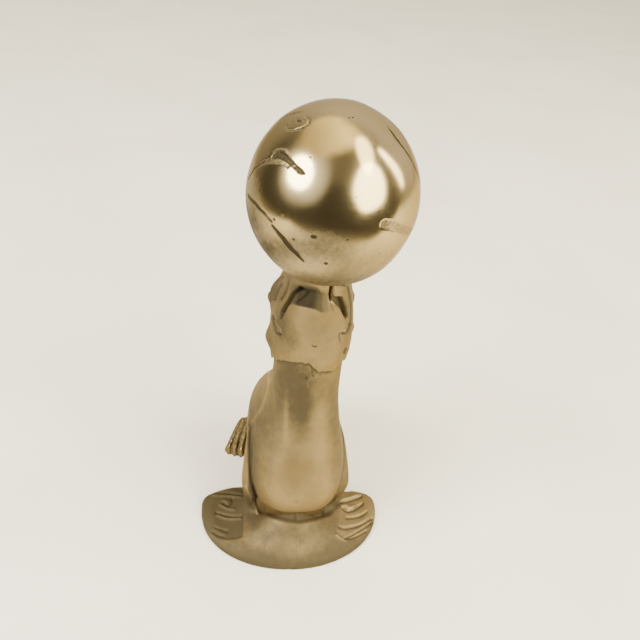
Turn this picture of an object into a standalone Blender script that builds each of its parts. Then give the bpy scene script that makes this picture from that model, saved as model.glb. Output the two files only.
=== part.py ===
"""Brass seal sitting upright on its flippers, with a polished ball screwed onto its muzzle.

Hollow castings joined by brazing: two body halves, head, two fore flippers that share the apron
in front of the chest, two hind flippers, and a ball of two half shells with a threaded boss.
Metres. The seal faces -Y, +Z is up, and z = 0 is what it stands on.
"""

import math

import bmesh
import bpy

# Overall sizes
FLIPPER_SPREAD = 0.089
APRON_REACH = 0.0338
RUMP_REACH = 0.058
COLLAR_HEIGHT = 0.104
HEAD_HEIGHT = 0.0468
BALL_WIDTH = 0.0572
BALL_HEIGHT = 0.061

# Trunk
HIP_WIDTH = 0.0445
NECK_WIDTH = 0.028
NECK_DEPTH = 0.029
CHEST_REACH = 0.0262
BODY_WALL = 0.003
COLLAR_SLOPE = 0.70

# Head
HEAD_WIDTH = 0.0325
MUZZLE_FORWARD = 0.007
JAW_WIDTH = 0.011
MOUTH_OPENING = 0.0032
MOUTH_CORNER = 0.60
SKIRT_LAP = 0.004
SPIGOT_LENGTH = 0.006
EAR_RADII = (0.002, 0.0028, 0.005)
BROW_RADII = (0.0028, 0.0052, 0.0082)
HEAD_CORE_RADIUS = 0.008

# Fore flippers and apron
EDGE_THICKNESS = 0.003
APRON_HEIGHT = 0.0185
APRON_WALL = 0.0032
WEB_DEPTH = 0.0022
ARM_THICKNESS = 0.0043
ARM_BREADTH = 0.018

# Hind flippers
HIND_LENGTH = 0.018
HIND_BREADTH = 0.0135
HIND_THICKNESS = 0.0045
ANKLE_HEIGHT = 0.013
HIND_RIB_HEIGHT = 0.0007

# Ball and its screw
BALL_WALL = 0.0022
BOSS_RADIUS = 0.0055
BOSS_HEIGHT = 0.0125
STUD_RADIUS = 0.003
STUD_IN_BALL = 0.0105
STUD_IN_HEAD = 0.012

# Room left between pieces that touch, and round the stud in its threads
GAP = 0.0003
THREAD_CLEARANCE = 0.0001

# Worked out from the sizes above
NECK_TOP = COLLAR_HEIGHT + SKIRT_LAP
MUZZLE_TOP = COLLAR_HEIGHT + HEAD_HEIGHT
BALL_BOTTOM = MUZZLE_TOP
BALL_CENTRE = BALL_BOTTOM + BALL_HEIGHT / 2
FRONT_REACH = max(APRON_REACH, MUZZLE_FORWARD + BALL_WIDTH / 2)
MIDDLE_Y = (RUMP_REACH - FRONT_REACH) / 2

# How the trunk changes from the floor (0) to the top of the neck (1). Width, front and back run from
# 0 at the neck's size to 1 at the hips', chest's and rump's. The last value squares the section.
TRUNK_LEVELS = (
    # height, width, front, back, widest, squareness
    (0.00, 0.66, -0.20, 0.93, 0.24, 2.4),
    (0.08, 0.80, -0.05, 1.00, 0.24, 2.5),
    (0.19, 0.94, 0.10, 1.00, 0.24, 2.6),
    (0.29, 1.00, 0.78, 0.99, 0.23, 2.7),
    (0.37, 1.00, 1.00, 0.97, 0.20, 2.7),
    (0.45, 0.93, 0.95, 0.88, 0.15, 2.6),
    (0.54, 0.68, 0.72, 0.70, 0.10, 2.5),
    (0.65, 0.35, 0.40, 0.46, 0.05, 2.3),
    (0.78, 0.08, 0.12, 0.18, 0.02, 2.0),
    (0.88, 0.01, 0.02, 0.04, 0.01, 2.0),
    (1.00, 0.00, 0.00, 0.00, 0.00, 2.0),
)

# The head from its skirt (0) to the muzzle (1). Width is a share of the head's. Front, back and the
# widest place are shares of the neck's half depth, from the line that leans forward to the muzzle.
HEAD_LEVELS = (
    # height, width, front, back, widest, squareness
    (0.00, 0.94, 1.10, 1.10, 0.05, 2.0),
    (0.12, 0.99, 1.15, 1.24, 0.15, 2.1),
    (0.28, 1.01, 1.12, 1.42, 0.42, 2.2),
    (0.45, 0.97, 1.02, 1.52, 0.62, 2.3),
    (0.60, 0.90, 0.93, 1.46, 0.72, 2.3),
    (0.80, 0.76, 0.86, 1.22, 0.70, 2.2),
    (1.00, 0.60, 0.80, 0.90, 0.30, 2.0),
)

EAR_PLACE = (0.48, 0.12, 0.18)
BROW_PLACE = (0.42, 0.36, 0.53)

TRUNK_RINGS = 19
TRUNK_POINTS = 21
HEAD_RINGS = 17
HEAD_POINTS = 40
TURNED_SIDES = 36

BRASS_POLISHED = ((0.80, 0.66, 0.42), 0.16, 1.0)
BRASS_CAST = ((0.66, 0.53, 0.32), 0.30, 1.0)
STEEL_STUD = ((0.55, 0.54, 0.52), 0.35, 1.0)


def clear_scene():
    for item in list(bpy.data.objects):
        bpy.data.objects.remove(item, do_unlink=True)


def metal(name, finish):
    colour, roughness, metallic = finish
    material = bpy.data.materials.new(name)
    material.use_nodes = True
    shader = material.node_tree.nodes["Principled BSDF"]
    shader.inputs["Base Color"].default_value = (*colour, 1.0)
    shader.inputs["Roughness"].default_value = roughness
    shader.inputs["Metallic"].default_value = metallic
    return material


def smooth_value(levels, height, column):
    """A smooth curve through one column of a table of levels, whose first column is height."""
    last = len(levels) - 1
    i = 0
    while i < last - 1 and height > levels[i + 1][0]:
        i += 1
    h0, h1 = levels[i][0], levels[i + 1][0]
    v0, v1 = levels[i][column], levels[i + 1][column]

    def slope(k):
        low, high = max(k - 1, 0), min(k + 1, last)
        return (levels[high][column] - levels[low][column]) / (levels[high][0] - levels[low][0])

    t = min(max((height - h0) / (h1 - h0), 0.0), 1.0)
    span = h1 - h0
    start = (1 + 2 * t) * (1 - t) ** 2 * v0 + t * (1 - t) ** 2 * span * slope(i)
    end = t * t * (3 - 2 * t) * v1 + t * t * (t - 1) * span * slope(i + 1)
    return start + end


def egg_point(turn, half_width, front, back, widest, squareness):
    """A point of a horizontal section: turn 0 is the front, 0.5 the side and 1 the back."""
    angle = math.pi * turn
    power = 2.0 / squareness
    side = abs(math.sin(angle)) ** power
    along = abs(math.cos(angle)) ** power
    if turn <= 0.5:
        y = widest - (widest - front) * along
    else:
        y = widest + (back - widest) * along
    return half_width * side, y


def trunk_point(height, turn, inset):
    """A point of the trunk's right-hand side at a height, drawn in from the outside by inset."""
    share = height / NECK_TOP
    width, front, back, widest, squareness = (smooth_value(TRUNK_LEVELS, share, k) for k in range(1, 6))
    back = min(back, 1.0)
    neck, depth = NECK_WIDTH / 2, NECK_DEPTH / 2
    half_width = neck + (HIP_WIDTH / 2 - neck) * width - inset
    front_y = -(depth + (CHEST_REACH - depth) * front) + inset
    slant = 1.0 + 0.4 * (back > 0.02)
    back_y = depth + (RUMP_REACH - depth) * back - slant * inset
    return egg_point(turn, half_width, front_y, back_y, RUMP_REACH * widest, squareness)


def tilted(height, y, share):
    """Height of a ring's point: rings near the top of the neck tilt with the collar, front side up."""
    tilt = min(max((share - 0.6) / 0.4, 0.0), 1.0)
    return height - COLLAR_SLOPE * y * tilt * tilt


def new_object(name, mesh_data, finish=None):
    mesh = bpy.data.meshes.new(name)
    mesh_data.normal_update()
    mesh_data.to_mesh(mesh)
    mesh_data.free()
    item = bpy.data.objects.new(name, mesh)
    bpy.context.scene.collection.objects.link(item)
    if finish:
        mesh.materials.append(metal(name + "_metal", finish))
    return item


def slab(near, far, wrap=False):
    """A closed body between two grids of points that have the same rows and columns."""
    data = bmesh.new()
    grids = [[[data.verts.new(point) for point in row] for row in grid] for grid in (near, far)]
    rows, columns = len(near), len(near[0])
    steps = columns if wrap else columns - 1
    for which, grid in enumerate(grids):
        for i in range(rows - 1):
            for j in range(steps):
                k = (j + 1) % columns
                face = [grid[i][j], grid[i][k], grid[i + 1][k], grid[i + 1][j]]
                data.faces.new(face[::-1] if which else face)
    a, b = grids
    for j in range(steps):
        k = (j + 1) % columns
        data.faces.new([a[0][k], a[0][j], b[0][j], b[0][k]])
        data.faces.new([a[-1][j], a[-1][k], b[-1][k], b[-1][j]])
    if not wrap:
        for i in range(rows - 1):
            data.faces.new([a[i][0], a[i + 1][0], b[i + 1][0], b[i][0]])
            data.faces.new([a[i + 1][-1], a[i][-1], b[i][-1], b[i + 1][-1]])
    bmesh.ops.recalc_face_normals(data, faces=data.faces)
    return data


def loft(rings):
    """A closed body through rings of points, with a flat cap at each end."""
    data = bmesh.new()
    loops = [[data.verts.new(point) for point in ring] for ring in rings]
    count = len(rings[0])
    for low, high in zip(loops, loops[1:]):
        for j in range(count):
            k = (j + 1) % count
            data.faces.new([low[j], low[k], high[k], high[j]])
    data.faces.new(loops[0][::-1])
    data.faces.new(loops[-1])
    bmesh.ops.recalc_face_normals(data, faces=data.faces)
    return data


def turned(profile, centre=(0.0, 0.0, 0.0)):
    """A round body about a vertical axis: profile lists (radius, height), ending on the axis or closing."""
    data = bmesh.new()
    x, y, z = centre
    points = [data.verts.new((x + radius, y, z + height)) for radius, height in profile]
    edges = [data.edges.new(pair) for pair in zip(points, points[1:])]
    if profile[0][0] > 0:
        edges.append(data.edges.new((points[-1], points[0])))
    full_turn = 2 * math.pi
    bmesh.ops.spin(data, geom=edges, cent=centre, axis=(0, 0, 1), angle=full_turn, steps=TURNED_SIDES)
    bmesh.ops.remove_doubles(data, verts=data.verts, dist=1e-6)
    bmesh.ops.recalc_face_normals(data, faces=data.faces)
    return data


def make_cutter(name, data):
    item = new_object(name, data)
    item.hide_render = True
    item.display_type = "WIRE"
    return item


def combine(item, other, operation):
    """Adds the other body to the item, or takes it away, and keeps the result as the item's own mesh."""
    modifier = item.modifiers.new(operation.lower(), "BOOLEAN")
    modifier.operation = operation
    modifier.object = other
    graph = bpy.context.evaluated_depsgraph_get()
    mesh = bpy.data.meshes.new_from_object(item.evaluated_get(graph))
    item.modifiers.clear()
    item.data = mesh


def finish_piece(item, parent, sharp_degrees=35):
    item.parent = parent
    item.data.shade_smooth()
    item.data.set_sharp_from_angle(angle=math.radians(sharp_degrees))


def trunk_solid(name, grow, top):
    """The whole trunk as one plain body, grown by a clearance, to cut what fits against it."""
    rings = []
    for i in range(TRUNK_RINGS):
        share = i / (TRUNK_RINGS - 1)
        z = -GAP + (top + GAP) * share
        right = [trunk_point(max(z, 0.0), j / (TRUNK_POINTS - 1), -grow) for j in range(TRUNK_POINTS)]
        ring = [(x, y, tilted(z, y, share)) for x, y in right]
        ring += [(-x, y, tilted(z, y, share)) for x, y in right[-2:0:-1]]
        rings.append(ring)
    return make_cutter(name, loft(rings))


def body_half(name, side):
    """Half of the hollow trunk, open underneath and at the neck, ending just short of the mid plane."""
    grids = []
    for inset in (0.0, BODY_WALL):
        grid = []
        for i in range(TRUNK_RINGS):
            share = i / (TRUNK_RINGS - 1)
            row = []
            for j in range(TRUNK_POINTS):
                x, y = trunk_point(NECK_TOP * share, j / (TRUNK_POINTS - 1), inset)
                row.append((side * max(x, GAP / 2), y, tilted(NECK_TOP * share, y, share)))
            grid.append(row)
        grids.append(grid)
    return new_object(name, slab(*grids), BRASS_CAST)


def flipper_outline(turn):
    """The apron's and flipper's edge: turn 0 is the front on the mid plane, 1 the back of the root."""
    tip = FLIPPER_SPREAD / 2
    tip_turn = 0.62
    if turn <= tip_turn:
        angle = math.pi / 2 * turn / tip_turn
        return tip * math.sin(angle) ** 1.06, -APRON_REACH * math.cos(angle) ** 1.06
    angle = math.pi / 2 * (turn - tip_turn) / (1 - tip_turn)
    root_x, back_y = HIP_WIDTH / 2 - BODY_WALL, 0.27 * APRON_REACH
    return root_x + (tip - root_x) * math.cos(angle) ** 0.5, back_y * math.sin(angle) ** 0.9


def flipper_top(turn, share):
    """Height of the flipper's upper face; share runs from the outer edge (0) to the trunk (1)."""
    apron = 0.5 + 0.5 * math.cos(math.pi * min(turn / 0.5, 1.0))
    root = 0.45 * APRON_HEIGHT
    crest = root + (APRON_HEIGHT - root) * apron
    rise = crest - EDGE_THICKNESS
    height = EDGE_THICKNESS + rise * (1 - (1 - share) ** 1.35)
    rim = math.sin(math.pi * min(share / 0.3, 1.0)) * 0.35 * WEB_DEPTH
    web = math.sin(math.pi * min(max((share - 0.2) / 0.6, 0.0), 1.0)) ** 0.6
    return height + (1 - apron) * (rim - WEB_DEPTH * web)


def apron_and_flipper(name, side):
    """The plate from the apron's middle round to the back of the flipper, hollowed out underneath."""
    columns, rows = 22, 8
    top, bottom = [], []
    for i in range(rows):
        share = i / (rows - 1)
        top_row, bottom_row = [], []
        for j in range(columns):
            turn = j / (columns - 1)
            edge_x, edge_y = flipper_outline(turn)
            core_x, core_y = 0.38 * edge_x, 0.38 * edge_y
            x = edge_x + (core_x - edge_x) * share
            y = edge_y + (core_y - edge_y) * share
            z = flipper_top(turn, share)
            x = side * max(x, GAP / 2)
            top_row.append((x, y, z))
            under = max(z - APRON_WALL, 0.0) if i > 1 else 0.0
            bottom_row.append((x, y, min(under, 0.6 * APRON_HEIGHT)))
        top.append(top_row)
        bottom.append(bottom_row)
    return new_object(name, slab(top, bottom), BRASS_CAST)


def arm_strap(name, side):
    """The upper arm: a flat strap down the flank that swells out into the flipper."""
    shoulder, foot = 0.50 * NECK_TOP, 0.8 * EDGE_THICKNESS
    rings = []
    levels, points = 10, 20
    for i in range(levels):
        down = i / (levels - 1)
        z = shoulder + (foot - shoulder) * down
        flank = max(trunk_point(z, j / 20, 0.0)[0] for j in range(21))
        flare = max(down - 0.75, 0.0) ** 2 * 16
        proud = ARM_THICKNESS * (min(1.0, 1.6 * down) + 0.5 * flare)
        breadth = ARM_BREADTH * (0.45 + 0.55 * math.sin(math.pi * min(0.12 + 0.62 * down, 0.5)))
        front_edge = ARM_BREADTH * (0.25 - 0.6 * math.sin(math.pi / 2 * min(1.8 * down, 1.0)))
        centre_y = front_edge + breadth / 2
        centre_x = flank - ARM_THICKNESS
        half_x = ARM_THICKNESS + proud
        ring = []
        for j in range(points):
            angle = 2 * math.pi * j / points
            across = math.copysign(abs(math.cos(angle)) ** 0.6, math.cos(angle))
            along = math.copysign(abs(math.sin(angle)) ** 0.8, math.sin(angle))
            ring.append((side * (centre_x + half_x * across), centre_y + breadth / 2 * along, z))
        rings.append(ring)
    return make_cutter(name, loft(rings))


def fore_flipper(name, side, trunk):
    plate = apron_and_flipper(name, side)
    combine(plate, arm_strap(name + "_arm_shape", side), "UNION")
    combine(plate, trunk, "DIFFERENCE")
    return plate


def hind_flipper(name, side, trunk):
    """A ribbed fan on the floor beside the rump: its ankle is at the back and its toes point forward."""
    root_y = 0.89 * RUMP_REACH
    toe_y = root_y - HIND_LENGTH
    root_x, toe_x = 0.30 * HIP_WIDTH, 0.385 * HIP_WIDTH
    rows, columns, ribs = 9, 19, 4.5
    top, bottom = [], []
    for i in range(rows):
        out = i / (rows - 1)
        breadth = HIND_BREADTH * (0.62 + 0.38 * out)
        rise = (ANKLE_HEIGHT - HIND_THICKNESS) * (1 - out) ** 0.9
        rounding = 0.5 if i == 0 else 1.0
        top_row, bottom_row = [], []
        for j in range(columns):
            across = j / (columns - 1)
            wave = math.cos(2 * math.pi * ribs * across)
            end_round = math.sqrt(max(1 - (2 * across - 1) ** 2, 0.0))
            reach = out * (0.86 + 0.14 * end_round + 0.02 * wave)
            y = root_y + (toe_y - root_y) * reach + 0.16 * HIND_LENGTH * across * out
            y -= 0.1 * HIND_LENGTH * across * across * (1 - out)
            x = root_x + (toe_x - root_x) * out + breadth * across
            thickness = (HIND_THICKNESS + rise) * rounding + HIND_RIB_HEIGHT * wave * out
            edge = 0.6 + 0.4 * min(1.0, 6 * (1 - across))
            top_row.append((side * x, y, thickness * edge))
            bottom_row.append((side * x, y, 0.0))
        top.append(top_row)
        bottom.append(bottom_row)
    fan = new_object(name, slab(top, bottom), BRASS_CAST)
    combine(fan, trunk, "DIFFERENCE")
    return fan


def head_lean(share):
    """How far forward the head's middle line is, at a share of its height."""
    return -MUZZLE_FORWARD * share ** 1.3


def head_shell(name):
    """The head's outside, from the tilted edge of its skirt up to the muzzle."""
    high = MUZZLE_TOP + 0.1 * HEAD_HEIGHT
    rings = []
    for i in range(HEAD_RINGS):
        share = i / (HEAD_RINGS - 1)
        width, front, back, widest, squareness = (smooth_value(HEAD_LEVELS, share, k) for k in range(1, 6))
        lean = head_lean(share)
        front_y = lean - NECK_DEPTH / 2 * front
        back_y = lean + NECK_DEPTH / 2 * back
        widest_y = lean + NECK_DEPTH / 2 * widest
        ring = []
        for j in range(HEAD_POINTS):
            turn = 2.0 * j / HEAD_POINTS
            mirrored = turn if turn <= 1 else 2 - turn
            x, y = egg_point(mirrored, HEAD_WIDTH / 2 * width, front_y, back_y, widest_y, squareness)
            low = COLLAR_HEIGHT - COLLAR_SLOPE * y
            ring.append((x if turn <= 1 else -x, y, low + (high - low) * share))
        rings.append(ring)
    return new_object(name, loft(rings), BRASS_CAST)


def rounded_lump(name, side, place, radii):
    """An ellipsoid on the head, placed by shares of head width, neck depth and head height."""
    across, back, up = place
    centre = (side * across * HEAD_WIDTH, back * NECK_DEPTH, COLLAR_HEIGHT + up * HEAD_HEIGHT)
    data = bmesh.new()
    bmesh.ops.create_uvsphere(data, u_segments=12, v_segments=8, radius=1.0)
    bmesh.ops.scale(data, vec=radii, verts=data.verts)
    bmesh.ops.translate(data, vec=centre, verts=data.verts)
    return make_cutter(name, data)


def mouth_wedge(name, side):
    """The open side of the mouth, between the lower jaw's column and the lip, cut in from the front."""
    inner_edge, outer_edge = [], []
    for share in (MOUTH_CORNER, 0.66, 0.74, 0.84, 1.10):
        up = min((share - MOUTH_CORNER) / (1 - MOUTH_CORNER), 1.0)
        x = JAW_WIDTH / 2 + (0.4 * HEAD_WIDTH - JAW_WIDTH / 2) * (1 - up) ** 2
        z = COLLAR_HEIGHT + share * HEAD_HEIGHT
        inner_edge.append((side * x, z))
        outer_edge.append((side * (x + MOUTH_OPENING * min(3 * up, 1.0)), z))
    outline = inner_edge + outer_edge[:0:-1]
    front_y = -1.5 * NECK_DEPTH
    back_y = -MUZZLE_FORWARD - 0.1 * NECK_DEPTH
    return make_cutter(name, loft([[(x, y, z) for x, z in outline] for y in (front_y, back_y)]))


def ball_profile(inset, start, end, steps):
    """Points of the ball's section from one angle to another, measured up from the bottom."""
    across, up = BALL_WIDTH / 2 - inset, BALL_HEIGHT / 2 - inset
    angles = [start + (end - start) * k / steps for k in range(steps + 1)]
    return [(across * math.sin(a), -up * math.cos(a)) for a in angles]


def head(name, trunk):
    shell = head_shell(name)
    combine(shell, trunk, "DIFFERENCE")
    for side in (-1, 1):
        combine(shell, rounded_lump(f"ear_shape_{side}", side, EAR_PLACE, EAR_RADII), "UNION")
        combine(shell, rounded_lump(f"brow_shape_{side}", side, BROW_PLACE, BROW_RADII), "UNION")
        combine(shell, mouth_wedge(f"mouth_shape_{side}", side), "DIFFERENCE")
    collar_drop = COLLAR_SLOPE * NECK_DEPTH / 2
    turns = [j / (TRUNK_POINTS - 1) for j in range(TRUNK_POINTS)]
    section = [trunk_point(NECK_TOP, turn, BODY_WALL + GAP) for turn in turns]
    section += [(-x, y) for x, y in section[-2:0:-1]]
    spigot_ends = (NECK_TOP - collar_drop - SPIGOT_LENGTH, NECK_TOP + collar_drop)
    spigot_rings = [[(x, y, z) for x, y in section] for z in spigot_ends]
    combine(shell, make_cutter("spigot_shape", loft(spigot_rings)), "UNION")
    core_top = COLLAR_HEIGHT + 0.5 * HEAD_HEIGHT
    core_low = NECK_TOP - collar_drop - 2 * SPIGOT_LENGTH
    core_radius, bevel = HEAD_CORE_RADIUS, HEAD_CORE_RADIUS / 2
    core = [(0.0, core_low), (core_radius, core_low), (core_radius, core_top - bevel)]
    core += [(core_radius - bevel, core_top), (0.0, core_top)]
    combine(shell, make_cutter("core_shape", turned(core)), "DIFFERENCE")
    seat_centre = (0.0, -MUZZLE_FORWARD, BALL_CENTRE)
    seat = make_cutter("seat_shape", turned(ball_profile(-GAP, 0.0, math.pi, 24), seat_centre))
    combine(shell, seat, "DIFFERENCE")
    bore_bottom = MUZZLE_TOP - STUD_IN_HEAD - GAP
    bore_radius = STUD_RADIUS + THREAD_CLEARANCE
    bore = [(0.0, bore_bottom), (bore_radius, bore_bottom), (bore_radius, BALL_CENTRE), (0.0, BALL_CENTRE)]
    combine(shell, make_cutter("bore_shape", turned(bore, (0.0, -MUZZLE_FORWARD, 0.0))), "DIFFERENCE")
    return shell


def ball_half(name, upper):
    """A half shell of the ball. Heights are measured from the ball's centre."""
    steps = 9
    seam = GAP / 2
    if upper:
        outer = ball_profile(0.0, math.pi, math.pi / 2, steps)
        inner = ball_profile(BALL_WALL, math.pi / 2, math.pi, steps)
        profile = [(r, max(z, seam)) for r, z in outer + inner]
        return new_object(name, turned(profile), BRASS_POLISHED)
    hole = math.asin((BOSS_RADIUS + GAP) / (BALL_WIDTH / 2))
    inner_hole = math.asin((BOSS_RADIUS + GAP) / (BALL_WIDTH / 2 - BALL_WALL))
    outer = ball_profile(0.0, hole, math.pi / 2, steps)
    inner = ball_profile(BALL_WALL, math.pi / 2, inner_hole, steps)
    profile = [(r, min(z, -seam)) for r, z in outer + inner]
    return new_object(name, turned(profile), BRASS_POLISHED)


def ball_boss(name):
    """The threaded bush in the bottom of the ball, with a flange that rests on the shell inside."""
    flange_radius = 1.5 * BOSS_RADIUS
    up, across = BALL_HEIGHT / 2, BALL_WIDTH / 2
    bottom = -up * math.sqrt(1 - (BOSS_RADIUS / across) ** 2)
    inner_up, inner_across = up - BALL_WALL, across - BALL_WALL
    flange_low = -inner_up * math.sqrt(1 - (flange_radius / inner_across) ** 2) + GAP
    flange_top = flange_low + BALL_WALL
    top = bottom + BOSS_HEIGHT
    bore = STUD_RADIUS + THREAD_CLEARANCE
    bore_top = -up + STUD_IN_BALL + GAP
    profile = [(0.0, top), (BOSS_RADIUS, top), (BOSS_RADIUS, flange_top), (flange_radius, flange_top)]
    profile += [(flange_radius, flange_low), (BOSS_RADIUS, flange_low), (BOSS_RADIUS, bottom), (bore, bottom)]
    profile += [(bore, bore_top), (0.0, bore_top)]
    return new_object(name, turned(profile), BRASS_CAST)


def ball_stud(name):
    """The rod that the ball screws onto, with a chamfer at each end."""
    up = BALL_HEIGHT / 2
    low, high = -up - STUD_IN_HEAD, -up + STUD_IN_BALL
    chamfer = STUD_RADIUS / 4
    profile = [(0.0, high), (STUD_RADIUS - chamfer, high), (STUD_RADIUS, high - chamfer)]
    profile += [(STUD_RADIUS, low + chamfer), (STUD_RADIUS - chamfer, low), (0.0, low)]
    return new_object(name, turned(profile), STEEL_STUD)


def empty(name, location, parent=None):
    item = bpy.data.objects.new(name, None)
    bpy.context.scene.collection.objects.link(item)
    item.location = location
    item.parent = parent
    return item


def build():
    clear_scene()
    seal = empty("seal_frame", (0.0, -MIDDLE_Y, 0.0))
    trunk = trunk_solid("trunk_clearance", GAP, NECK_TOP + GAP)
    for word, side in (("left", 1), ("right", -1)):
        finish_piece(body_half(f"body_{word}_half", side), seal)
        finish_piece(fore_flipper(f"fore_flipper_{word}", side, trunk), seal)
        finish_piece(hind_flipper(f"hind_flipper_{word}", side, trunk), seal)
    finish_piece(head("head", trunk), seal)
    ball_axis = empty("ball_axis", (0.0, -MUZZLE_FORWARD, BALL_CENTRE), seal)
    finish_piece(ball_stud("ball_stud"), ball_axis)
    finish_piece(ball_boss("ball_boss"), ball_axis)
    finish_piece(ball_half("ball_lower_half", False), ball_axis)
    finish_piece(ball_half("ball_upper_half", True), ball_axis)


build()
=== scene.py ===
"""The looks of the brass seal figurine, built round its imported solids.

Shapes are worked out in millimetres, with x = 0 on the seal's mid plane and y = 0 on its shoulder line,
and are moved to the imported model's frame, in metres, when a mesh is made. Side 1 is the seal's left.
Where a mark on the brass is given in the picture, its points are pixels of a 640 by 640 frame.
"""

import math

import bmesh
import bpy
import numpy as np
from mathutils import Matrix, Quaternion, Vector


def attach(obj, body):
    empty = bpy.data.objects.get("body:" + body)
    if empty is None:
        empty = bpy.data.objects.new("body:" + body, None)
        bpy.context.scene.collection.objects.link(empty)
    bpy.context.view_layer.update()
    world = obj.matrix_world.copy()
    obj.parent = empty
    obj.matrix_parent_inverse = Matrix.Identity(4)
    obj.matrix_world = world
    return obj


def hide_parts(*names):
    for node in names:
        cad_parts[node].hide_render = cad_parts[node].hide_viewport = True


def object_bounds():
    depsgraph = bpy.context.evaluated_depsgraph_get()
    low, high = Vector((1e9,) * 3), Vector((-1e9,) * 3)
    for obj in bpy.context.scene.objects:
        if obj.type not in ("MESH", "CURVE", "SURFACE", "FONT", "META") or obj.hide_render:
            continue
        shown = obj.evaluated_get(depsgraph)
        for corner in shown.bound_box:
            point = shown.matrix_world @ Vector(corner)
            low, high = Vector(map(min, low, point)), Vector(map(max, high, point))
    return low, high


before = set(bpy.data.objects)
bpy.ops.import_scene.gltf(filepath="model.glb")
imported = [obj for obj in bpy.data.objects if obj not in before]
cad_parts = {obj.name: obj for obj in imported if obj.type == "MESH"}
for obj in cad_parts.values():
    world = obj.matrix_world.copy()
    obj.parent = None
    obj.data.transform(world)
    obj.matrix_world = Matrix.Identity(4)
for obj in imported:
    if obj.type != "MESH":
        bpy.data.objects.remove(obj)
CAD_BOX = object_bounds()
BOX_LOW, BOX_HIGH = (np.array(corner) for corner in CAD_BOX)

# Sizes in millimetres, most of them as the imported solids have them
MIDDLE_Y = 11.2
FLIPPER_SPREAD = 89.0
APRON_REACH = 33.8
RUMP_REACH = 58.0
COLLAR_HEIGHT = 104.0
HEAD_HEIGHT = 46.8
BALL_WIDTH = 57.2
BALL_HEIGHT = 61.0
HIP_WIDTH = 44.5
NECK_WIDTH = 28.0
NECK_DEPTH = 29.0
CHEST_REACH = 26.2
BODY_WALL = 3.0
COLLAR_SLOPE = 0.70
HEAD_WIDTH = 32.5
MUZZLE_FORWARD = 7.0
SKIRT_LAP = 4.0
HEAD_CORE_RADIUS = 8.0
BALL_WALL = 2.2
BALL_HOLE_RADIUS = 5.8
EDGE_THICKNESS = 3.0
APRON_HEIGHT = 18.5
APRON_WALL = 3.2
WEB_DEPTH = 1.0
REAR_REACH = 8.8
ARM_THICKNESS = 4.3
ARM_BREADTH = 18.0
HIND_LENGTH = 18.0
HIND_BREADTH = 15.3
HIND_THICKNESS = 4.5
ANKLE_HEIGHT = 13.0
ROOT_DEPTH = 1.2
STUD_RADIUS = 3.0
STUD_BELOW = 12.0
STUD_ABOVE = 10.5
THREAD_PITCH = 0.8
THREAD_DEPTH = 0.45
STUD_CHAMFER = 0.8
BORE_CLEARANCE = 0.1
BORE_DEPTH = 12.3
GAP = 0.3

NECK_TOP = COLLAR_HEIGHT + SKIRT_LAP
MUZZLE_TOP = COLLAR_HEIGHT + HEAD_HEIGHT
BALL_CENTRE = MUZZLE_TOP + BALL_HEIGHT / 2
BALL_PLACE = np.array([0.0, -MUZZLE_FORWARD, BALL_CENTRE])
BALL_RADII = np.array([BALL_WIDTH, BALL_WIDTH, BALL_HEIGHT]) / 2

# How finely each skin is drawn: rows and columns of points, and the fore flippers' voxels in metres
TRUNK_GRID = (330, 420)
HEAD_GRID = (380, 560)
BALL_GRID = (330, 600)
STUD_GRID = (420, 48)
PLATE_GRID = (90, 254)
ARM_GRID = (120, 120)
HIND_GRID = (90, 150)
FLOOR_GRID = (61, 61)
TRUNK_INSIDE_ROWS = 24
BALL_INSIDE_ROWS = 14
FLIPPER_VOXEL = 0.00036
# A ring this small closes a hole to the eye
CLOSED_RADIUS = 0.05

TRUNK_LEVELS = (
    # height, width, front, back, widest, squareness
    (0.00, 0.66, -0.20, 0.93, 0.24, 2.4),
    (0.08, 0.80, -0.05, 1.00, 0.24, 2.5),
    (0.19, 0.94, 0.10, 1.00, 0.24, 2.6),
    (0.29, 1.00, 0.78, 0.99, 0.23, 2.7),
    (0.37, 1.00, 1.00, 0.97, 0.20, 2.7),
    (0.45, 0.93, 0.95, 0.88, 0.15, 2.6),
    (0.54, 0.68, 0.72, 0.70, 0.10, 2.5),
    (0.65, 0.35, 0.40, 0.46, 0.05, 2.3),
    (0.78, 0.08, 0.12, 0.18, 0.02, 2.0),
    (0.88, 0.01, 0.02, 0.04, 0.01, 2.0),
    (1.00, 0.00, 0.00, 0.00, 0.00, 2.0),
)

HEAD_LEVELS = (
    # height, width, front, back, widest, squareness
    (0.00, 0.94, 1.10, 1.10, 0.05, 2.0),
    (0.12, 0.99, 1.15, 1.24, 0.15, 2.1),
    (0.28, 1.01, 1.12, 1.42, 0.42, 2.2),
    (0.45, 0.97, 1.02, 1.52, 0.62, 2.3),
    (0.60, 0.90, 0.93, 1.46, 0.72, 2.3),
    (0.80, 0.76, 0.86, 1.22, 0.70, 2.2),
    (1.00, 0.60, 0.80, 0.90, 0.30, 2.0),
)

# The camera, in the shapes' frame
CAMERA_PLACE = (-38.46, -193.55, 278.02)
CAMERA_ELEVATION = 38.0
CAMERA_AZIMUTH = -12.0
CAMERA_ROLL = 7.5
PICTURE_SIDE = 640
# The lens is as long as the sensor is wide, which to_picture and on_ball count on
LENS_LENGTH = SENSOR_WIDTH = 36.0


def toward(azimuth, elevation):
    """A direction: azimuth 0 is where the seal faces, 90 its left side."""
    azimuth, elevation = math.radians(azimuth), math.radians(elevation)
    level = math.cos(elevation)
    return np.array([math.sin(azimuth) * level, -math.cos(azimuth) * level, math.sin(elevation)])


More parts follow.
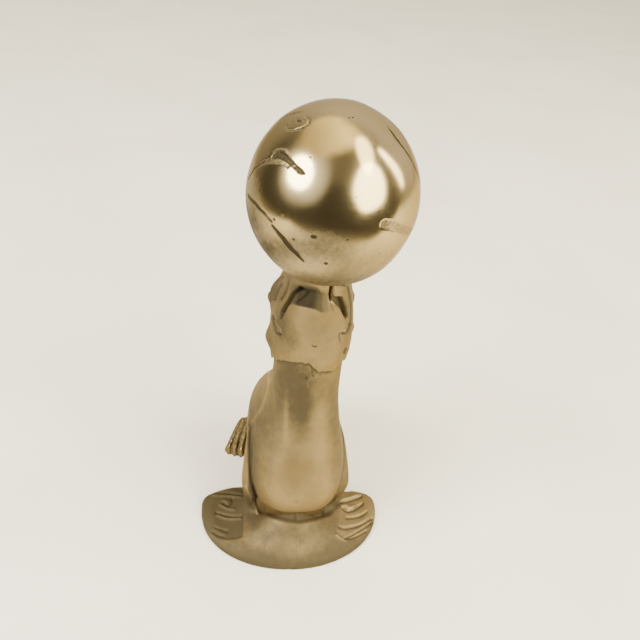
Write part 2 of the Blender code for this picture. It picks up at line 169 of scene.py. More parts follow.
def camera_axes():
    """The picture's right and up directions and the one back to the camera, in the shapes' frame."""
    back = toward(CAMERA_AZIMUTH, CAMERA_ELEVATION)
    azimuth, roll = math.radians(CAMERA_AZIMUTH), math.radians(CAMERA_ROLL)
    side = np.array([math.cos(azimuth), math.sin(azimuth), 0.0])
    up = np.cross(side, -back)
    right = math.cos(roll) * side + math.sin(roll) * up
    top = -math.sin(roll) * side + math.cos(roll) * up
    return right, top, back


def to_picture(points):
    """Where points of the shapes fall in the picture, in pixels."""
    right, top, back = camera_axes()
    away = points - np.array(CAMERA_PLACE)
    depth = -(away @ back)
    half = PICTURE_SIDE / 2
    return half + PICTURE_SIDE * (away @ right) / depth, half - PICTURE_SIDE * (away @ top) / depth


def place_camera():
    data = bpy.data.cameras.new("camera")
    data.lens = LENS_LENGTH
    data.sensor_width = SENSOR_WIDTH
    data.clip_start = 0.01
    camera = bpy.data.objects.new("camera", data)
    bpy.context.scene.collection.objects.link(camera)
    right, top, back = camera_axes()
    x, y, z = CAMERA_PLACE
    place = (x / 1000, (y - MIDDLE_Y) / 1000, z / 1000)
    rows = [[right[i], top[i], back[i], place[i]] for i in range(3)]
    camera.matrix_world = Matrix(rows + [[0, 0, 0, 1]])
    bpy.context.scene.camera = camera


# Small tools on arrays of numbers


def smooth_step(low, high, value):
    """0 at low, 1 at high and smooth between them; low may be the larger one."""
    t = np.clip((value - low) / (high - low), 0.0, 1.0)
    return t * t * (3 - 2 * t)


def level_curve(levels, column, height):
    """The same smooth curve through a table of levels as the solids have."""
    table = np.array(levels)
    h, v = table[:, 0], table[:, column]
    last = len(h) - 1
    low = np.maximum(np.arange(last + 1) - 1, 0)
    high = np.minimum(np.arange(last + 1) + 1, last)
    slope = (v[high] - v[low]) / (h[high] - h[low])
    i = np.searchsorted(h[1:-1], height, side="left")
    span = h[i + 1] - h[i]
    t = np.clip((height - h[i]) / span, 0.0, 1.0)
    start = (1 + 2 * t) * (1 - t) ** 2 * v[i] + t * (1 - t) ** 2 * span * slope[i]
    return start + t * t * (3 - 2 * t) * v[i + 1] + t * t * (t - 1) * span * slope[i + 1]


def egg_point(turn, half_width, front, back, widest, squareness):
    """A point of a horizontal section: turn 0 is the front, 1 the back, and 1 to 2 the other side."""
    angle = math.pi * turn
    power = 2.0 / squareness
    across = np.sign(np.sin(angle)) * np.abs(np.sin(angle)) ** power
    along = np.abs(np.cos(angle)) ** power
    y = np.where(np.cos(angle) > 0, widest - (widest - front) * along, widest + (back - widest) * along)
    return half_width * across, y


def trunk_section(height, inset):
    """Half width, front, back, widest place and squareness of the trunk's section, drawn in by inset."""
    share = np.clip(height / NECK_TOP, 0.0, 1.0)
    width, front, back, widest, squareness = (level_curve(TRUNK_LEVELS, k, share) for k in range(1, 6))
    back = np.minimum(back, 1.0)
    neck, depth = NECK_WIDTH / 2, NECK_DEPTH / 2
    half_width = neck + (HIP_WIDTH / 2 - neck) * width - inset
    front_y = -(depth + (CHEST_REACH - depth) * front) + inset
    back_y = depth + (RUMP_REACH - depth) * back - inset * (1.0 + 0.4 * (back > 0.02))
    return half_width, front_y, back_y, RUMP_REACH * widest, squareness


def trunk_point(height, turn, inset):
    return egg_point(turn, *trunk_section(height, inset))


def angles_round(columns):
    """Evenly spaced angles right round, in radians."""
    return np.arange(columns) * 2 * math.pi / columns


def join(x, y, z):
    """Points from their coordinates, which may be arrays or single numbers and are stretched to one shape."""
    return np.stack(np.broadcast_arrays(x, y, z), axis=-1)


def grid_faces(rows, columns, wrap):
    """The quads of a grid of points, row after row, whose rows close on themselves where wrap is true."""
    steps = columns if wrap else columns - 1
    i = np.arange(rows - 1)[:, None]
    j = np.arange(steps)[None, :]
    a = i * columns + j
    b = i * columns + (j + 1) % columns
    return np.stack([a, b, b + columns, a + columns], axis=-1).reshape(-1, 4)


def vertex_normals(points, faces):
    """Normals of a mesh of quads, one at each point."""
    p = points[faces]
    across = np.cross(p[:, 2] - p[:, 0], p[:, 3] - p[:, 1])
    total = np.zeros_like(points)
    for k in range(4):
        for axis in range(3):
            total[:, axis] += np.bincount(faces[:, k], across[:, axis], len(points))
    return total / np.maximum(np.linalg.norm(total, axis=1, keepdims=True), 1e-12)


def make_mesh(name, points, faces, marks=None, boxed=True):
    """An object from points in millimetres. Marks are numbers kept at each point for the material."""
    mesh = bpy.data.meshes.new(name)
    moved = (points - np.array([0.0, MIDDLE_Y, 0.0])) / 1000
    if boxed:
        moved = np.clip(moved, BOX_LOW, BOX_HIGH)
    mesh.vertices.add(len(points))
    mesh.vertices.foreach_set("co", moved.astype(np.float32).ravel())
    sides = faces.shape[1]
    mesh.loops.add(faces.size)
    mesh.loops.foreach_set("vertex_index", faces.astype(np.int32).ravel())
    mesh.polygons.add(len(faces))
    mesh.polygons.foreach_set("loop_start", np.arange(0, faces.size, sides, dtype=np.int32))
    mesh.update(calc_edges=True)
    mesh.validate()
    mesh.shade_smooth()
    for key, values in (marks or {}).items():
        layer = mesh.attributes.new(key, "FLOAT", "POINT")
        layer.data.foreach_set("value", values.astype(np.float32))
    item = bpy.data.objects.new(name, mesh)
    bpy.context.scene.collection.objects.link(item)
    return item


def mesh_arrays(item):
    """The points, in millimetres of the shapes' frame, and the quads of an object."""
    mesh = item.data
    points = np.zeros(len(mesh.vertices) * 3, np.float32)
    mesh.vertices.foreach_get("co", points)
    faces = np.zeros(len(mesh.loops), np.int32)
    mesh.loops.foreach_get("vertex_index", faces)
    return points.reshape(-1, 3).astype(float) * 1000 + np.array([0.0, MIDDLE_Y, 0.0]), faces.reshape(-1, 4)


def ripple(points, size, seed):
    """A smooth, uneven swelling between about -1 and 1, whose waves are about size millimetres long."""
    waves, usual_sum = 14, 5.0
    chance = np.random.default_rng(seed)
    total = np.zeros(len(points))
    for _ in range(waves):
        direction = chance.normal(size=3)
        direction /= np.linalg.norm(direction)
        length = size * chance.uniform(0.7, 1.6)
        total += np.sin(2 * math.pi * (points @ direction) / length + chance.uniform(0, 2 * math.pi))
    return total / usual_sum


def distance_to_line(x, y, line):
    """How far picture points are from a line through picture points, in pixels."""
    line = np.array(line, float)
    nearest = np.full(x.shape, 1e9)
    for a, b in zip(line[:-1], line[1:]):
        d = b - a
        t = np.clip(((x - a[0]) * d[0] + (y - a[1]) * d[1]) / (d @ d), 0, 1)
        nearest = np.minimum(nearest, np.hypot(x - a[0] - t * d[0], y - a[1] - t * d[1]))
    return nearest


def inside_outline(x, y, outline):
    """Signed distance of picture points from a closed outline: above 0 inside it."""
    ring = np.array(list(outline) + [outline[0]], float)
    nearest = distance_to_line(x, y, ring)
    inside = np.zeros(x.shape, bool)
    for (ax, ay), (bx, by) in zip(ring[:-1], ring[1:]):
        crosses = (ay > y) != (by > y)
        where = (bx - ax) * (y - ay) / (by - ay + 1e-12) + ax
        inside ^= crosses & (x < where)
    return np.where(inside, nearest, -nearest)


# Marks on the brass: a line through picture points, its half width in pixels, how far it stands out
# in millimetres (below 0 it is cut in), and how dark it is, from 0 to 1: tarnish with painted shade in a cut;
# below 0 it is a painted highlight along a ridge.

HEAD_LINES = (
    (((288.6, 274.8), (288.1, 281.4), (287, 286), (285.5, 291.6), (283.5, 295.2), (281.4, 299.2)),
     0.9, -0.6, 0.6),
    (((281.4, 284.4), (277.9, 290.6), (276.3, 295.2), (275.3, 299.2)), 0.9, -0.5, 0.55),
    (((272.2, 292.6), (271.5, 296.7), (270.2, 300.8), (269.2, 305.9)), 0.9, -0.5, 0.6),
    (((282.4, 276.8), (275.3, 283.4), (268.7, 286.5)), 1.6, -0.2, 0.45),
    (((304.4, 294.1), (299.5, 298.4), (295.7, 301.8)), 0.6, 0.7, -0.6),
    (((272.2, 316.1), (273.3, 320.7), (274.3, 325.8), (275.3, 330.4), (277.3, 333.4), (279.9, 334.4)),
     1.1, -0.7, 0.7),
    (((275.3, 320.7), (277.9, 325.3), (280.4, 329.3), (281.4, 332.9)), 0.8, 0.3, -0.3),
    (((277.9, 330.4), (278.1, 330.9)), 1.1, 0.35, -0.3),
    (((348.4, 286.8), (349.9, 294.5), (351.2, 302.7), (351.7, 310.8), (350.9, 319), (350.4, 325.1)),
     1.0, -0.5, 0.6),
    (((350.4, 325.1), (348.4, 330.2), (345.8, 333.3), (342.8, 333.8)), 1.1, -0.6, 0.75),
    (((344.3, 330.2), (344.3, 331.2)), 1.0, 0.45, -0.4),
    (((333.3, 284), (332.8, 291.4), (332.6, 296.5), (332.8, 302.7)), 1.25, -2.4, 0.9),
    (((336.1, 285.6), (345.3, 285.1)), 0.9, -0.5, 0.7),
    (((335.0, 305.2), (338.0, 308.0), (341.0, 311.9), (342.8, 315.9), (345.3, 320)), 0.7, 0.2, -0.4),
    (((339.7, 333.3), (339.2, 337.3), (340.2, 341.4)), 0.7, -0.25, 0.35),
    (((312.3, 345.6), (314.5, 346.8), (316.6, 346.2)), 0.8, -0.10, 1.0),
    (((267.4, 327.8), (266.9, 332.4), (266.3, 340.7), (266.6, 345.9), (269.5, 349.9)), 0.9, -0.5, 0.8),
    (((346.4, 349.4), (344.7, 353.4)), 1.3, -0.5, 0.8),
)

LEFT_MOUTH = (
    (296, 286), (292.7, 289), (289.6, 293.6), (286.5, 299.2), (283.5, 303.8), (280.9, 307.9), (279.1, 312),
    (278.6, 317.1), (279.9, 319.7), (282.4, 318.1), (286, 311), (288.6, 306.4), (292.1, 302.8),
    (295.7, 301.8), (304.4, 294), (300.8, 289.6),
)
RIGHT_MOUTH = (
    (334, 296.6), (343, 296.5), (345.3, 301.6), (346.8, 306.7), (347.9, 312.3), (348.4, 317.4),
    (347.3, 320.5), (345.3, 319.6), (342.8, 315.4), (341.2, 312.2), (339.7, 308.2), (336.6, 305.5),
    (333.6, 303.2),
)
# The crease across the throat; the muzzle above it leans back and is hollowed
THROAT_CREASE = (
    (290, 303.6), (295.7, 305.9), (301.8, 307.4), (310, 309.4), (315.2, 310.3), (320.3, 313.4),
    (325.4, 313.9), (338.2, 312.3),
)
# The joint of arm and chest at the picture's left, which is cut into both and darkened with painted shade
ARM_JOINT = ((250, 422), (248.8, 445), (248.8, 462), (251.6, 483), (256, 497))
TRUNK_LINES = (
    (((309.6, 363.7), (310.2, 369.4), (312.5, 374), (315.4, 375.2), (319.4, 372.3)), 0.8, 0.3, -0.2),
    (((317.1, 376.3), (310.2, 378.6), (307.4, 382.6), (307.9, 386.7)), 0.8, 0.28, -0.2),
    (((306.2, 378.6), (306.9, 379.4)), 1.2, -0.5, 0.7),
    (((311.6, 371), (313.5, 377)), 0.9, -0.3, 0.4),
    (((272.3, 359), (271.8, 367), (270.6, 375), (269.5, 387), (268, 395), (262, 410), (255, 420), (249, 425)),
     1.8, 0.8, -0.3),
    (ARM_JOINT, 1.5, -0.7, 0.9),
    (((295.4, 502.6), (296.4, 503.2)), 1.5, -0.45, 0.35),
)

# The gutter between the chest and the apron, on either side of the mid plane, cut in and darkened with
# painted shade
GUTTER = (
    (257, 502), (264, 507.5), (275, 512.5), (289, 516.5), (300, 517.5), (313, 515), (327, 510), (336, 502),
)

FLIPPER_LINES = {
    -1: (
        (((245.5, 486), (249.5, 494), (253.5, 503), (257.5, 513)), 1.2, 0.55, -0.45),
        (ARM_JOINT, 1.4, -0.70, 0.8),
        (((213, 491.5), (222, 491.8), (231, 492.4), (240, 493.6)), 1.3, -0.77, 0.35),
        (((212, 494.6), (222, 495.0), (231, 495.4), (241, 496.4)), 1.3, 0.49, -0.15),
        (((224, 502.6), (228, 504.6), (231.5, 501.5), (232, 498.0)), 1.4, -0.84, 0.35),
        (((223, 500.5), (226, 500.8)), 1.8, 0.63, -0.15),
        (((220, 504.0), (227, 508.0), (234, 508.8)), 1.4, 0.49, -0.1),
        (((216.5, 512.0), (225, 514.6), (233, 515.8), (241, 515.6)), 1.1, -0.70, 0.3),
        (((217.5, 514.6), (225, 517.6), (232, 518.4), (240, 517.6)), 1.1, 0.56, -0.15),
        (((215, 526.6), (221, 528.6), (227, 530.6)), 1.2, -0.49, 0.2),
        (((213, 531.5), (218, 534.5), (224, 536.0)), 1.2, -0.42, 0.2),
    ),
    1: (
        (((341.4, 501.4), (348, 500.8), (355, 498.2), (361, 496.0)), 1.3, -0.77, 0.3),
        (((343, 507.6), (348, 510.8), (354, 509.4), (362, 503.6)), 1.3, -0.84, 0.3),
        (((347, 517.6), (355, 517.0), (361, 515.0), (366.5, 511.5)), 1.3, -0.63, 0.25),
        (((339.7, 526.6), (346, 528.0), (356, 525.8), (365.5, 521.6), (372, 518.4)), 1.3, -0.77, 0.3),
        (((345, 538.2), (351, 534.9), (359, 530.6), (367, 526.0), (372, 522.6)), 1.1, -0.70, 0.3),
        (((345.3, 538.6), (352, 537.8), (361, 534.2), (366, 531.4)), 1.1, -0.63, 0.3),
        (((343, 498.2), (350, 496.8), (355, 495.0)), 1.5, 0.49, -0.1),
        (((345, 504.5), (350, 507.0), (354, 505.5)), 1.6, 0.49, -0.1),
        (((336, 534.5), (340, 537.5), (346, 540.3)), 1.3, 0.63, -0.2),
    ),
}
# The hollowed faces of the flippers: outline, depth, softness of its edge and how dark it is, tarnish with
# painted shade in the hollow; below 0 a painted highlight
DISHES = {
    -1: (((243.8, 480), (243.5, 500), (243.4, 516), (243.2, 530), (242.3, 536.5), (236.4, 538.6),
          (227.2, 539.2), (218, 537.6), (210, 532.8), (203.5, 525.5), (198, 516), (185, 505), (185, 480)),
         0.5, 1.2, 0.42),
    1: (((343, 480), (400, 480), (400, 520), (371.4, 521), (368, 530), (362, 536.6), (355, 539.5),
         (347, 540.3), (342, 538.2), (336, 535), (334.5, 532.5), (337, 527), (339.5, 520), (341.5, 512),
         (341.2, 505)), 0.35, 2.2, -0.18),
}

# The ball's cast-in grooves: picture points with the half width there in millimetres, depth, tarnish
BALL_GROOVES = (
    (((247.6, 179, 0.2), (250.5, 173.5, 0.35), (254, 168, 0.5), (259, 163.8, 0.6), (267, 161, 0.85),
      (274, 159.8, 1.1), (281, 161.2, 1.1), (287, 165, 0.8)), 0.20, 0.62),
    (((272, 156, 0.3), (279, 154.2, 0.9), (285, 157, 0.8), (290, 162, 0.6), (296, 167.5, 0.5),
      (299.5, 171, 0.75), (302, 172.4, 0.5)), 0.35, 1.1),
    (((247.6, 195, 0.4), (255, 203.5, 0.6), (264, 213.5, 0.6), (271, 221.5, 0.4)), 0.12, 0.55),
    (((271.5, 225.5, 0.3), (277, 232, 0.55), (282.3, 238.2, 0.75), (289.5, 247.4, 0.65),
      (295.8, 254.2, 0.45), (303, 262.4, 0.1)), 0.40, 1.0),
    (((388, 125.6, 0.3), (396, 136.8, 0.75), (402.6, 145.7, 0.6), (409.4, 155.8, 0.55), (416, 169.2, 0.5),
      (420, 182.4, 0.25)), 0.12, 1.2),
    (((385, 224.3, 1.5), (395, 227, 1.6), (403, 229.5, 1.5), (411, 231.8, 1.3)), 0.25, 0.45),
    (((279, 120, 0.25), (286, 115.5, 0.35), (293, 113, 0.35), (301.5, 111.6, 0.2)), 0.20, 0.85),
    (((286.1, 124.9, 0.4), (287.5, 129.1, 0.45), (293.1, 129.8, 0.4), (301.5, 127.7, 0.5),
      (308.5, 123.5, 0.4), (309.2, 119.3, 0.3), (305.7, 116.5, 0.3)), 0.20, 0.7),
    (((297, 118.5, 0.5), (299, 121, 0.7), (304, 120.5, 0.5)), 0.12, 0.45),
)
# Pits in the ball: picture point and size in millimetres
BALL_PITS = (
    (325.8, 264.4, 0.60), (312.6, 237.0, 0.60), (314.6, 237.3, 0.55), (347.8, 239.9, 0.35),
    (349.5, 117.2, 0.35), (353.1, 116.7, 0.35), (310.6, 156.4, 0.25), (293.1, 239.9, 0.3),
    (304.2, 173.7, 0.35), (273.7, 219.5, 0.4),
)

# Places of the brass painted darker: picture point, half width, half height, and how dark, from tarnish
# together with painted shade and painted reflection; below 0 a painted highlight
TRUNK_PATCHES = (
    (303, 406, 12, 30, 0.78), (299, 428, 10, 14, 0.26), (287, 388, 14, 34, 0.52), (304, 371, 17, 14, 0.40),
    (262, 415, 12, 22, 0.32), (268, 438, 16, 24, 0.10), (322, 384, 14, 22, 0.36), (283, 452, 22, 22, 0.12),
    (334, 420, 12, 30, 0.22), (254, 470, 5, 40, 0.35), (303, 402, 8, 16, 0.30), (286, 416, 2.6, 26, -0.30),
    (333, 470, 14, 26, 0.14), (250.8, 452, 2.2, 36, 1.0),
)
HEAD_PATCHES = (
    (293, 342, 11, 20, 0.34), (280, 324, 6, 16, 0.40), (338, 340, 7, 12, 0.22), (275, 290, 12, 16, 0.35),
    (316, 284, 20, 8, 0.25), (270, 345, 5, 14, 0.3), (348, 315, 4, 26, 0.2),
)
FLIPPER_PATCHES = (
    (262, 545, 30, 24, 0.10), (240, 565, 30, 14, 0.30), (327, 555, 20, 18, 0.18), (300, 580, 50, 9, 0.25),
    (248, 502, 8, 18, 0.60), (256, 520, 6, 12, 0.2), (292, 532, 30, 10, 0.18), (345, 556, 16, 12, 0.15),
    (246, 462, 7, 38, -0.50), (249.4, 450, 1.5, 34, 1.0), (330, 530, 22, 16, 0.12),
)
BALL_PATCHES = (
    (244, 215, 22, 56, 0.70), (266, 255, 28, 26, 0.42), (314, 244, 36, 20, 0.50), (356, 258, 44, 22, 0.34),
    (281, 152.5, 7, 4.5, 1.1), (298, 122, 7, 5, 0.45), (335, 284, 60, 11, 0.40), (256, 140, 16, 26, 0.20),
)


def in_picture(points, normals, hidden, seen):
    """Where points of a skin fall in the picture, and how much they face it: 0 at hidden, 1 at seen."""
    x, y = to_picture(points)
    _, _, back = camera_axes()
    return x, y, smooth_step(hidden, seen, normals @ back)


def carve(points, normals, lines):
    """How far lines of the picture move the points of a skin, and how dark they leave them."""
    x, y, facing = in_picture(points, normals, 0.02, 0.15)
    shift, tarnish_and_painted_light = np.zeros(len(points)), np.zeros(len(points))
    for line, half_width, stand, dark in lines:
        xs, ys = zip(*line)
        reach = 3 * half_width
        near = (x > min(xs) - reach) & (x < max(xs) + reach) & (y > min(ys) - reach) & (y < max(ys) + reach)
        gap = distance_to_line(x[near], y[near], line)
        shape = np.exp(-((gap / half_width) ** 2)) * facing[near]
        shift[near] += stand * shape
        tarnish_and_painted_light[near] += dark * shape
    return shift, tarnish_and_painted_light


def tarnish_and_light_patches(points, normals, patches, hidden=-0.05, seen=0.25):
    """How much tarnish, painted shade, painted reflection and painted highlight soft round places of the
    picture leave on a skin, fading where it turns away.
    """
    x, y, facing = in_picture(points, normals, hidden, seen)
    tarnish_and_painted_light = np.zeros(len(points))
    for px, py, half_width, half_height, dark in patches:
        tarnish_and_painted_light += dark * np.exp(-(((x - px) / half_width) ** 2) - ((y - py) / half_height) ** 2) * facing
    return tarnish_and_painted_light * (1 + 0.12 * ripple(points, 9.0, 41) + 0.06 * ripple(points, 2.5, 42))


def flank_shade(normals):
    """Painted shade on what faces sideways, darker than what faces the front."""
    return 0.42 * smooth_step(0.35, 0.95, np.abs(normals[:, 0]))


# Trunk


def hem(x, y):
    """Height of the head's ragged lower edge, with a tongue of braze at the throat."""
    place = join(x, y, 0.0).reshape(-1, 3)
    ragged = (0.35 * ripple(place, 4.0, 31) + 0.2 * ripple(place, 1.8, 32)).reshape(np.shape(x))
    tongue = smooth_step(-3.0, 1.6, x) * smooth_step(12.8, 6.5, x) * (y < 0)
    return COLLAR_HEIGHT - COLLAR_SLOPE * y + ragged - 4.6 * tongue


def trunk_skin():
    """The trunk's points, down its wall's inside and up the outside, with which are outside and how high."""
    rows, columns = TRUNK_GRID
    inner, outer = np.linspace(0.86, 0.0, TRUNK_INSIDE_ROWS), np.linspace(0.0, 1.0, rows)
    share = np.concatenate([inner, outer])[:, None]
    inset = np.concatenate([np.full(TRUNK_INSIDE_ROWS, BODY_WALL), np.zeros(rows)])[:, None]
    turn = np.arange(columns)[None, :] * 2.0 / columns
    share, inset, turn = np.broadcast_arrays(share, inset, turn)
    height = NECK_TOP * share
    x, y = trunk_point(height, turn, inset)
    tilt = np.clip((share - 0.6) / 0.4, 0.0, 1.0)
    z = height - COLLAR_SLOPE * y * tilt * tilt
    points = join(x, y, z).reshape(-1, 3)
    faces = grid_faces(TRUNK_INSIDE_ROWS + rows, columns, True)
    return points, faces, (inset == 0).ravel(), share.ravel()


def make_trunk():
    points, faces, outside, share = trunk_skin()
    normals = vertex_normals(points, faces)
    shift, tarnish_and_painted_light = carve(points, normals, TRUNK_LINES)
    shift = shift + 0.10 * ripple(points, 24, 1) + 0.03 * ripple(points, 7, 2)
    # Painted shade under the chest's overhang and in a ragged line under the head's lower edge
    under_chest_shade = np.exp(-(((points[:, 2] - 24) / 5) ** 2)) * smooth_step(0, -10, points[:, 1])
    below_hem = hem(points[:, 0], points[:, 1]) - points[:, 2]
    under_collar_shade = smooth_step(2.6, 0.3, below_hem) * (0.75 + 0.3 * ripple(points, 5.0, 8))
    tarnish_and_painted_light = tarnish_and_painted_light + 0.25 * under_chest_shade + 0.5 * np.clip(under_collar_shade, 0, 1) + flank_shade(normals)
    tarnish_and_painted_light = tarnish_and_painted_light + tarnish_and_light_patches(points, normals, TRUNK_PATCHES)
    above_rim = smooth_step(0.0, 0.03, share)
    points = points + normals * (shift * outside * above_rim)[:, None]
    points[:, 2] = np.maximum(points[:, 2], 0.0)
    return make_mesh("trunk_casting", points, faces, {"tarnish_and_painted_light": tarnish_and_painted_light})


# Head

# How much stronger than listed the head's lines are, and the deepest cut, in millimetres
LINE_STRENGTH = 1.5
DEEPEST_CUT = 2.6
# The left, right, top and bottom of the part of the picture that holds the mouth
MOUTH_FIELD = (262, 360, 270, 330)
# Above this height the ball's seat cuts the head's skin off, and inside it the brass is painted this dark, a
# painted shade under the ball
SEAT_LOWEST = 140.0
SEAT_SHADE = 0.8
# Swellings on the left side: place, radii and, for each side's jowl, how far it stands out
JOWLS = {
    -1: ((16.0, 3.5, 112.5), (5.0, 4.2, 7.5), 1.7),
    1: ((16.0, 3.5, 117.5), (5.0, 4.2, 4.5), 1.4),
}
CHEEK = ((14.0, 10.5, 129.0), (7.0, 7.5, 11.0))
EYE = ((15.0, 9.0, 127.5), (5.0, 3.0, 3.4))
BROW = ((16.0, 12.0, 130.0), (7.0, 9.0, 10.0))


def hidden_rings(turn):
    """Rings of the head that don't show: its hollow, the spigot in the neck and the skirt's inside."""
    angle = math.pi * turn
    core_low = NECK_TOP - COLLAR_SLOPE * NECK_DEPTH / 2 - 6.0
    core_top = COLLAR_HEIGHT + 0.5 * HEAD_HEIGHT
    core_side = ((HEAD_CORE_RADIUS, core_top - 4.0), (HEAD_CORE_RADIUS, core_low))
    rings = []
    for radius, z in ((CLOSED_RADIUS, core_top), (HEAD_CORE_RADIUS / 2, core_top)) + core_side:
        rings.append(join(radius * np.sin(angle), -radius * np.cos(angle), z))
    neck_top = np.full(len(turn), NECK_TOP)
    x, y = trunk_point(neck_top, turn, BODY_WALL + GAP)
    rings.append(join(x, y, core_low))
    rings.append(join(x, y, NECK_TOP + GAP - COLLAR_SLOPE * y))
    x, y = trunk_point(neck_top, turn, -GAP)
    rings.append(join(x, y, NECK_TOP + GAP - COLLAR_SLOPE * y))
    rings.append(join(x, y, hem(x, y) + 0.4))
    return rings


def skin_rings(turn, rows):
    """Rings of the head's skin, from its ragged hem up to just above the muzzle's top."""
    high = MUZZLE_TOP + 0.1 * HEAD_HEIGHT
    half = NECK_DEPTH / 2
    rings = []
    for share in np.linspace(0.0, 1.0, rows):
        level = np.full(len(turn), share)
        width, front, back, widest, squareness = (level_curve(HEAD_LEVELS, k, level) for k in range(1, 6))
        lean = -MUZZLE_FORWARD * share ** 1.3
        front_y, back_y, widest_y = lean - half * front, lean + half * back, lean + half * widest
        x, y = egg_point(turn, HEAD_WIDTH / 2 * width, front_y, back_y, widest_y, squareness)
        low = hem(x, y)
        rings.append(join(x, y, low + (high - low) * share))
    return rings


def ball_under(x, y):
    """Height of the ball's seat over a point."""
    across = (x ** 2 + (y + MUZZLE_FORWARD) ** 2) / (BALL_WIDTH / 2 + GAP) ** 2
    return BALL_CENTRE - (BALL_HEIGHT / 2 + GAP) * np.sqrt(np.clip(1 - across, 0.0, 1.0))


def lump(points, side, place, radii):
    """1 at the middle of an egg-shaped place on one side, falling smoothly to 0 at its edge."""
    r = np.sqrt((((points - np.array(place) * (side, 1, 1)) / np.array(radii)) ** 2).sum(axis=1))
    return smooth_step(1.0, 0.0, r)


def mouth_marks(points, normals):
    """Cuts in the mouth's two openings and the hollow of the throat above its crease, both darkened with
    painted shade; the hollow's shade also stands for the reflection of the ball's dark underside.
    """
    x, y, facing = in_picture(points, normals, 0.0, 0.2)
    shift, tarnish_and_painted_light = np.zeros(len(points)), np.zeros(len(points))
    left, right, top, bottom = MOUTH_FIELD
    near = (x > left) & (x < right) & (y > top) & (y < bottom) & (facing > 0)
    x, y, facing = x[near], y[near], facing[near]
    for outline, deep in ((LEFT_MOUTH, 2.3), (RIGHT_MOUTH, 2.6)):
        depth = inside_outline(x, y, outline)
        shift[near] -= deep * smooth_step(-0.3, 1.6, depth) * facing
        tarnish_and_painted_light[near] += 0.62 * smooth_step(0.0, 0.9, depth)
    crease_x, crease_y = zip(*THROAT_CREASE)
    above = np.interp(x, crease_x, crease_y) - y
    across = smooth_step(289, 297, x) * smooth_step(336, 331, x)
    hollow = np.clip(above / 14.0, 0.0, 1.0) * (1 - 0.45 * smooth_step(13.0, 24.0, above))
    shift[near] -= 2.4 * hollow * across * facing
    shade = smooth_step(0.0, 1.6, above) * smooth_step(23.0, 14.0, above) * smooth_step(288, 300, x)
    tarnish_and_painted_light[near] += shade * (0.40 + 1.35 * smooth_step(329, 308, x)) * smooth_step(336, 328, x)
    return shift, tarnish_and_painted_light


def head_marks(points, normals):
    """How far lines, jowls, eyes, brows and mouth move the head's skin, and how dark they leave it."""
    shift, tarnish_and_painted_light = carve(points, normals, HEAD_LINES)
    shift = np.maximum(LINE_STRENGTH * shift, -DEEPEST_CUT)
    wrinkles = ripple(points, 2.4, 6)
    for side in (-1, 1):
        place, radii, stand = JOWLS[side]
        shift = shift + stand * lump(points, side, place, radii)
        shift = shift + 2.2 * lump(points, side, *CHEEK)
        eye = lump(points, side, *EYE)
        shift = shift + 0.7 * eye
        rim = np.exp(-(((eye - 0.25) / 0.12) ** 2))
        shift, tarnish_and_painted_light = shift - 0.35 * rim, tarnish_and_painted_light + 0.5 * rim
        brow = lump(points, side, *BROW)
        shift = shift + 0.16 * wrinkles * brow
        tarnish_and_painted_light = tarnish_and_painted_light + np.maximum(0.5 * wrinkles, 0.0) * brow
    mouth_shift, mouth_dark = mouth_marks(points, normals)
    shift = shift + mouth_shift + 0.10 * ripple(points, 18, 3) + 0.03 * ripple(points, 5, 4)
    return shift, tarnish_and_painted_light + mouth_dark + flank_shade(normals) + tarnish_and_light_patches(points, normals, HEAD_PATCHES)


def muzzle_rings(rim):
    """Rings from the skin's last one in under the ball and down the bore that holds the stud."""
    middle = np.array([0.0, -MUZZLE_FORWARD, 0.0])
    rings = []
    for share in (0.66, 0.4):
        ring = middle + (rim - middle) * np.array([share, share, 1.0])
        ring[:, 2] = ball_under(ring[:, 0], ring[:, 1])
        rings.append(ring)
    angle = angles_round(len(rim))
    bore = STUD_RADIUS + BORE_CLEARANCE
    for radius, drop in ((bore, 0.0), (bore, BORE_DEPTH), (CLOSED_RADIUS, BORE_DEPTH)):
        x, y = radius * np.sin(angle), -MUZZLE_FORWARD - radius * np.cos(angle)
        rings.append(join(x, y, ball_under(x, y) - drop))
    return rings


def make_head():
    rows, columns = HEAD_GRID
    turn = np.arange(columns) * 2.0 / columns
    hidden = hidden_rings(turn)
    rings = hidden + skin_rings(turn, rows)
    points = np.concatenate(rings)
    normals = vertex_normals(points, grid_faces(len(rings), columns, True))
    outside = np.arange(len(points)) >= (len(hidden) + 1) * columns
    shift, tarnish_and_painted_light = head_marks(points, normals)
    points = points + normals * (shift * outside)[:, None]
    near_ball = outside & (points[:, 2] > SEAT_LOWEST)
    seat = ball_under(points[:, 0], points[:, 1])
    points[:, 2] = np.where(near_ball, np.minimum(points[:, 2], seat), points[:, 2])
    inner = muzzle_rings(points[-columns:])
    points = np.concatenate([points] + inner)
    tarnish_and_painted_light = np.concatenate([tarnish_and_painted_light, np.full(len(inner) * columns, SEAT_SHADE)])
    faces = grid_faces(len(rings) + len(inner), columns, True)
    return make_mesh("head_casting", points, faces, {"tarnish_and_painted_light": tarnish_and_painted_light})


# Ball and stud

# The heights of the ball's long and short waves. Its skin is sunk by their sum, to stay within its size
BALL_WAVES = (0.12, 0.07)


def on_ball(pixel):
    """The point of the ball that shows at a picture point, as seen from the ball's centre."""
    right, top, back = camera_axes()
    half = PICTURE_SIDE / 2
    ray = -back + (pixel[0] - half) / PICTURE_SIDE * right - (pixel[1] - half) / PICTURE_SIDE * top
    start = (np.array(CAMERA_PLACE) - BALL_PLACE) / BALL_RADII
    ray = ray / BALL_RADII
    a, b, c = ray @ ray, 2 * start @ ray, start @ start - 1
    t = (-b - math.sqrt(max(b * b - 4 * a * c, 0.0))) / (2 * a)
    return (start + t * ray) * BALL_RADII


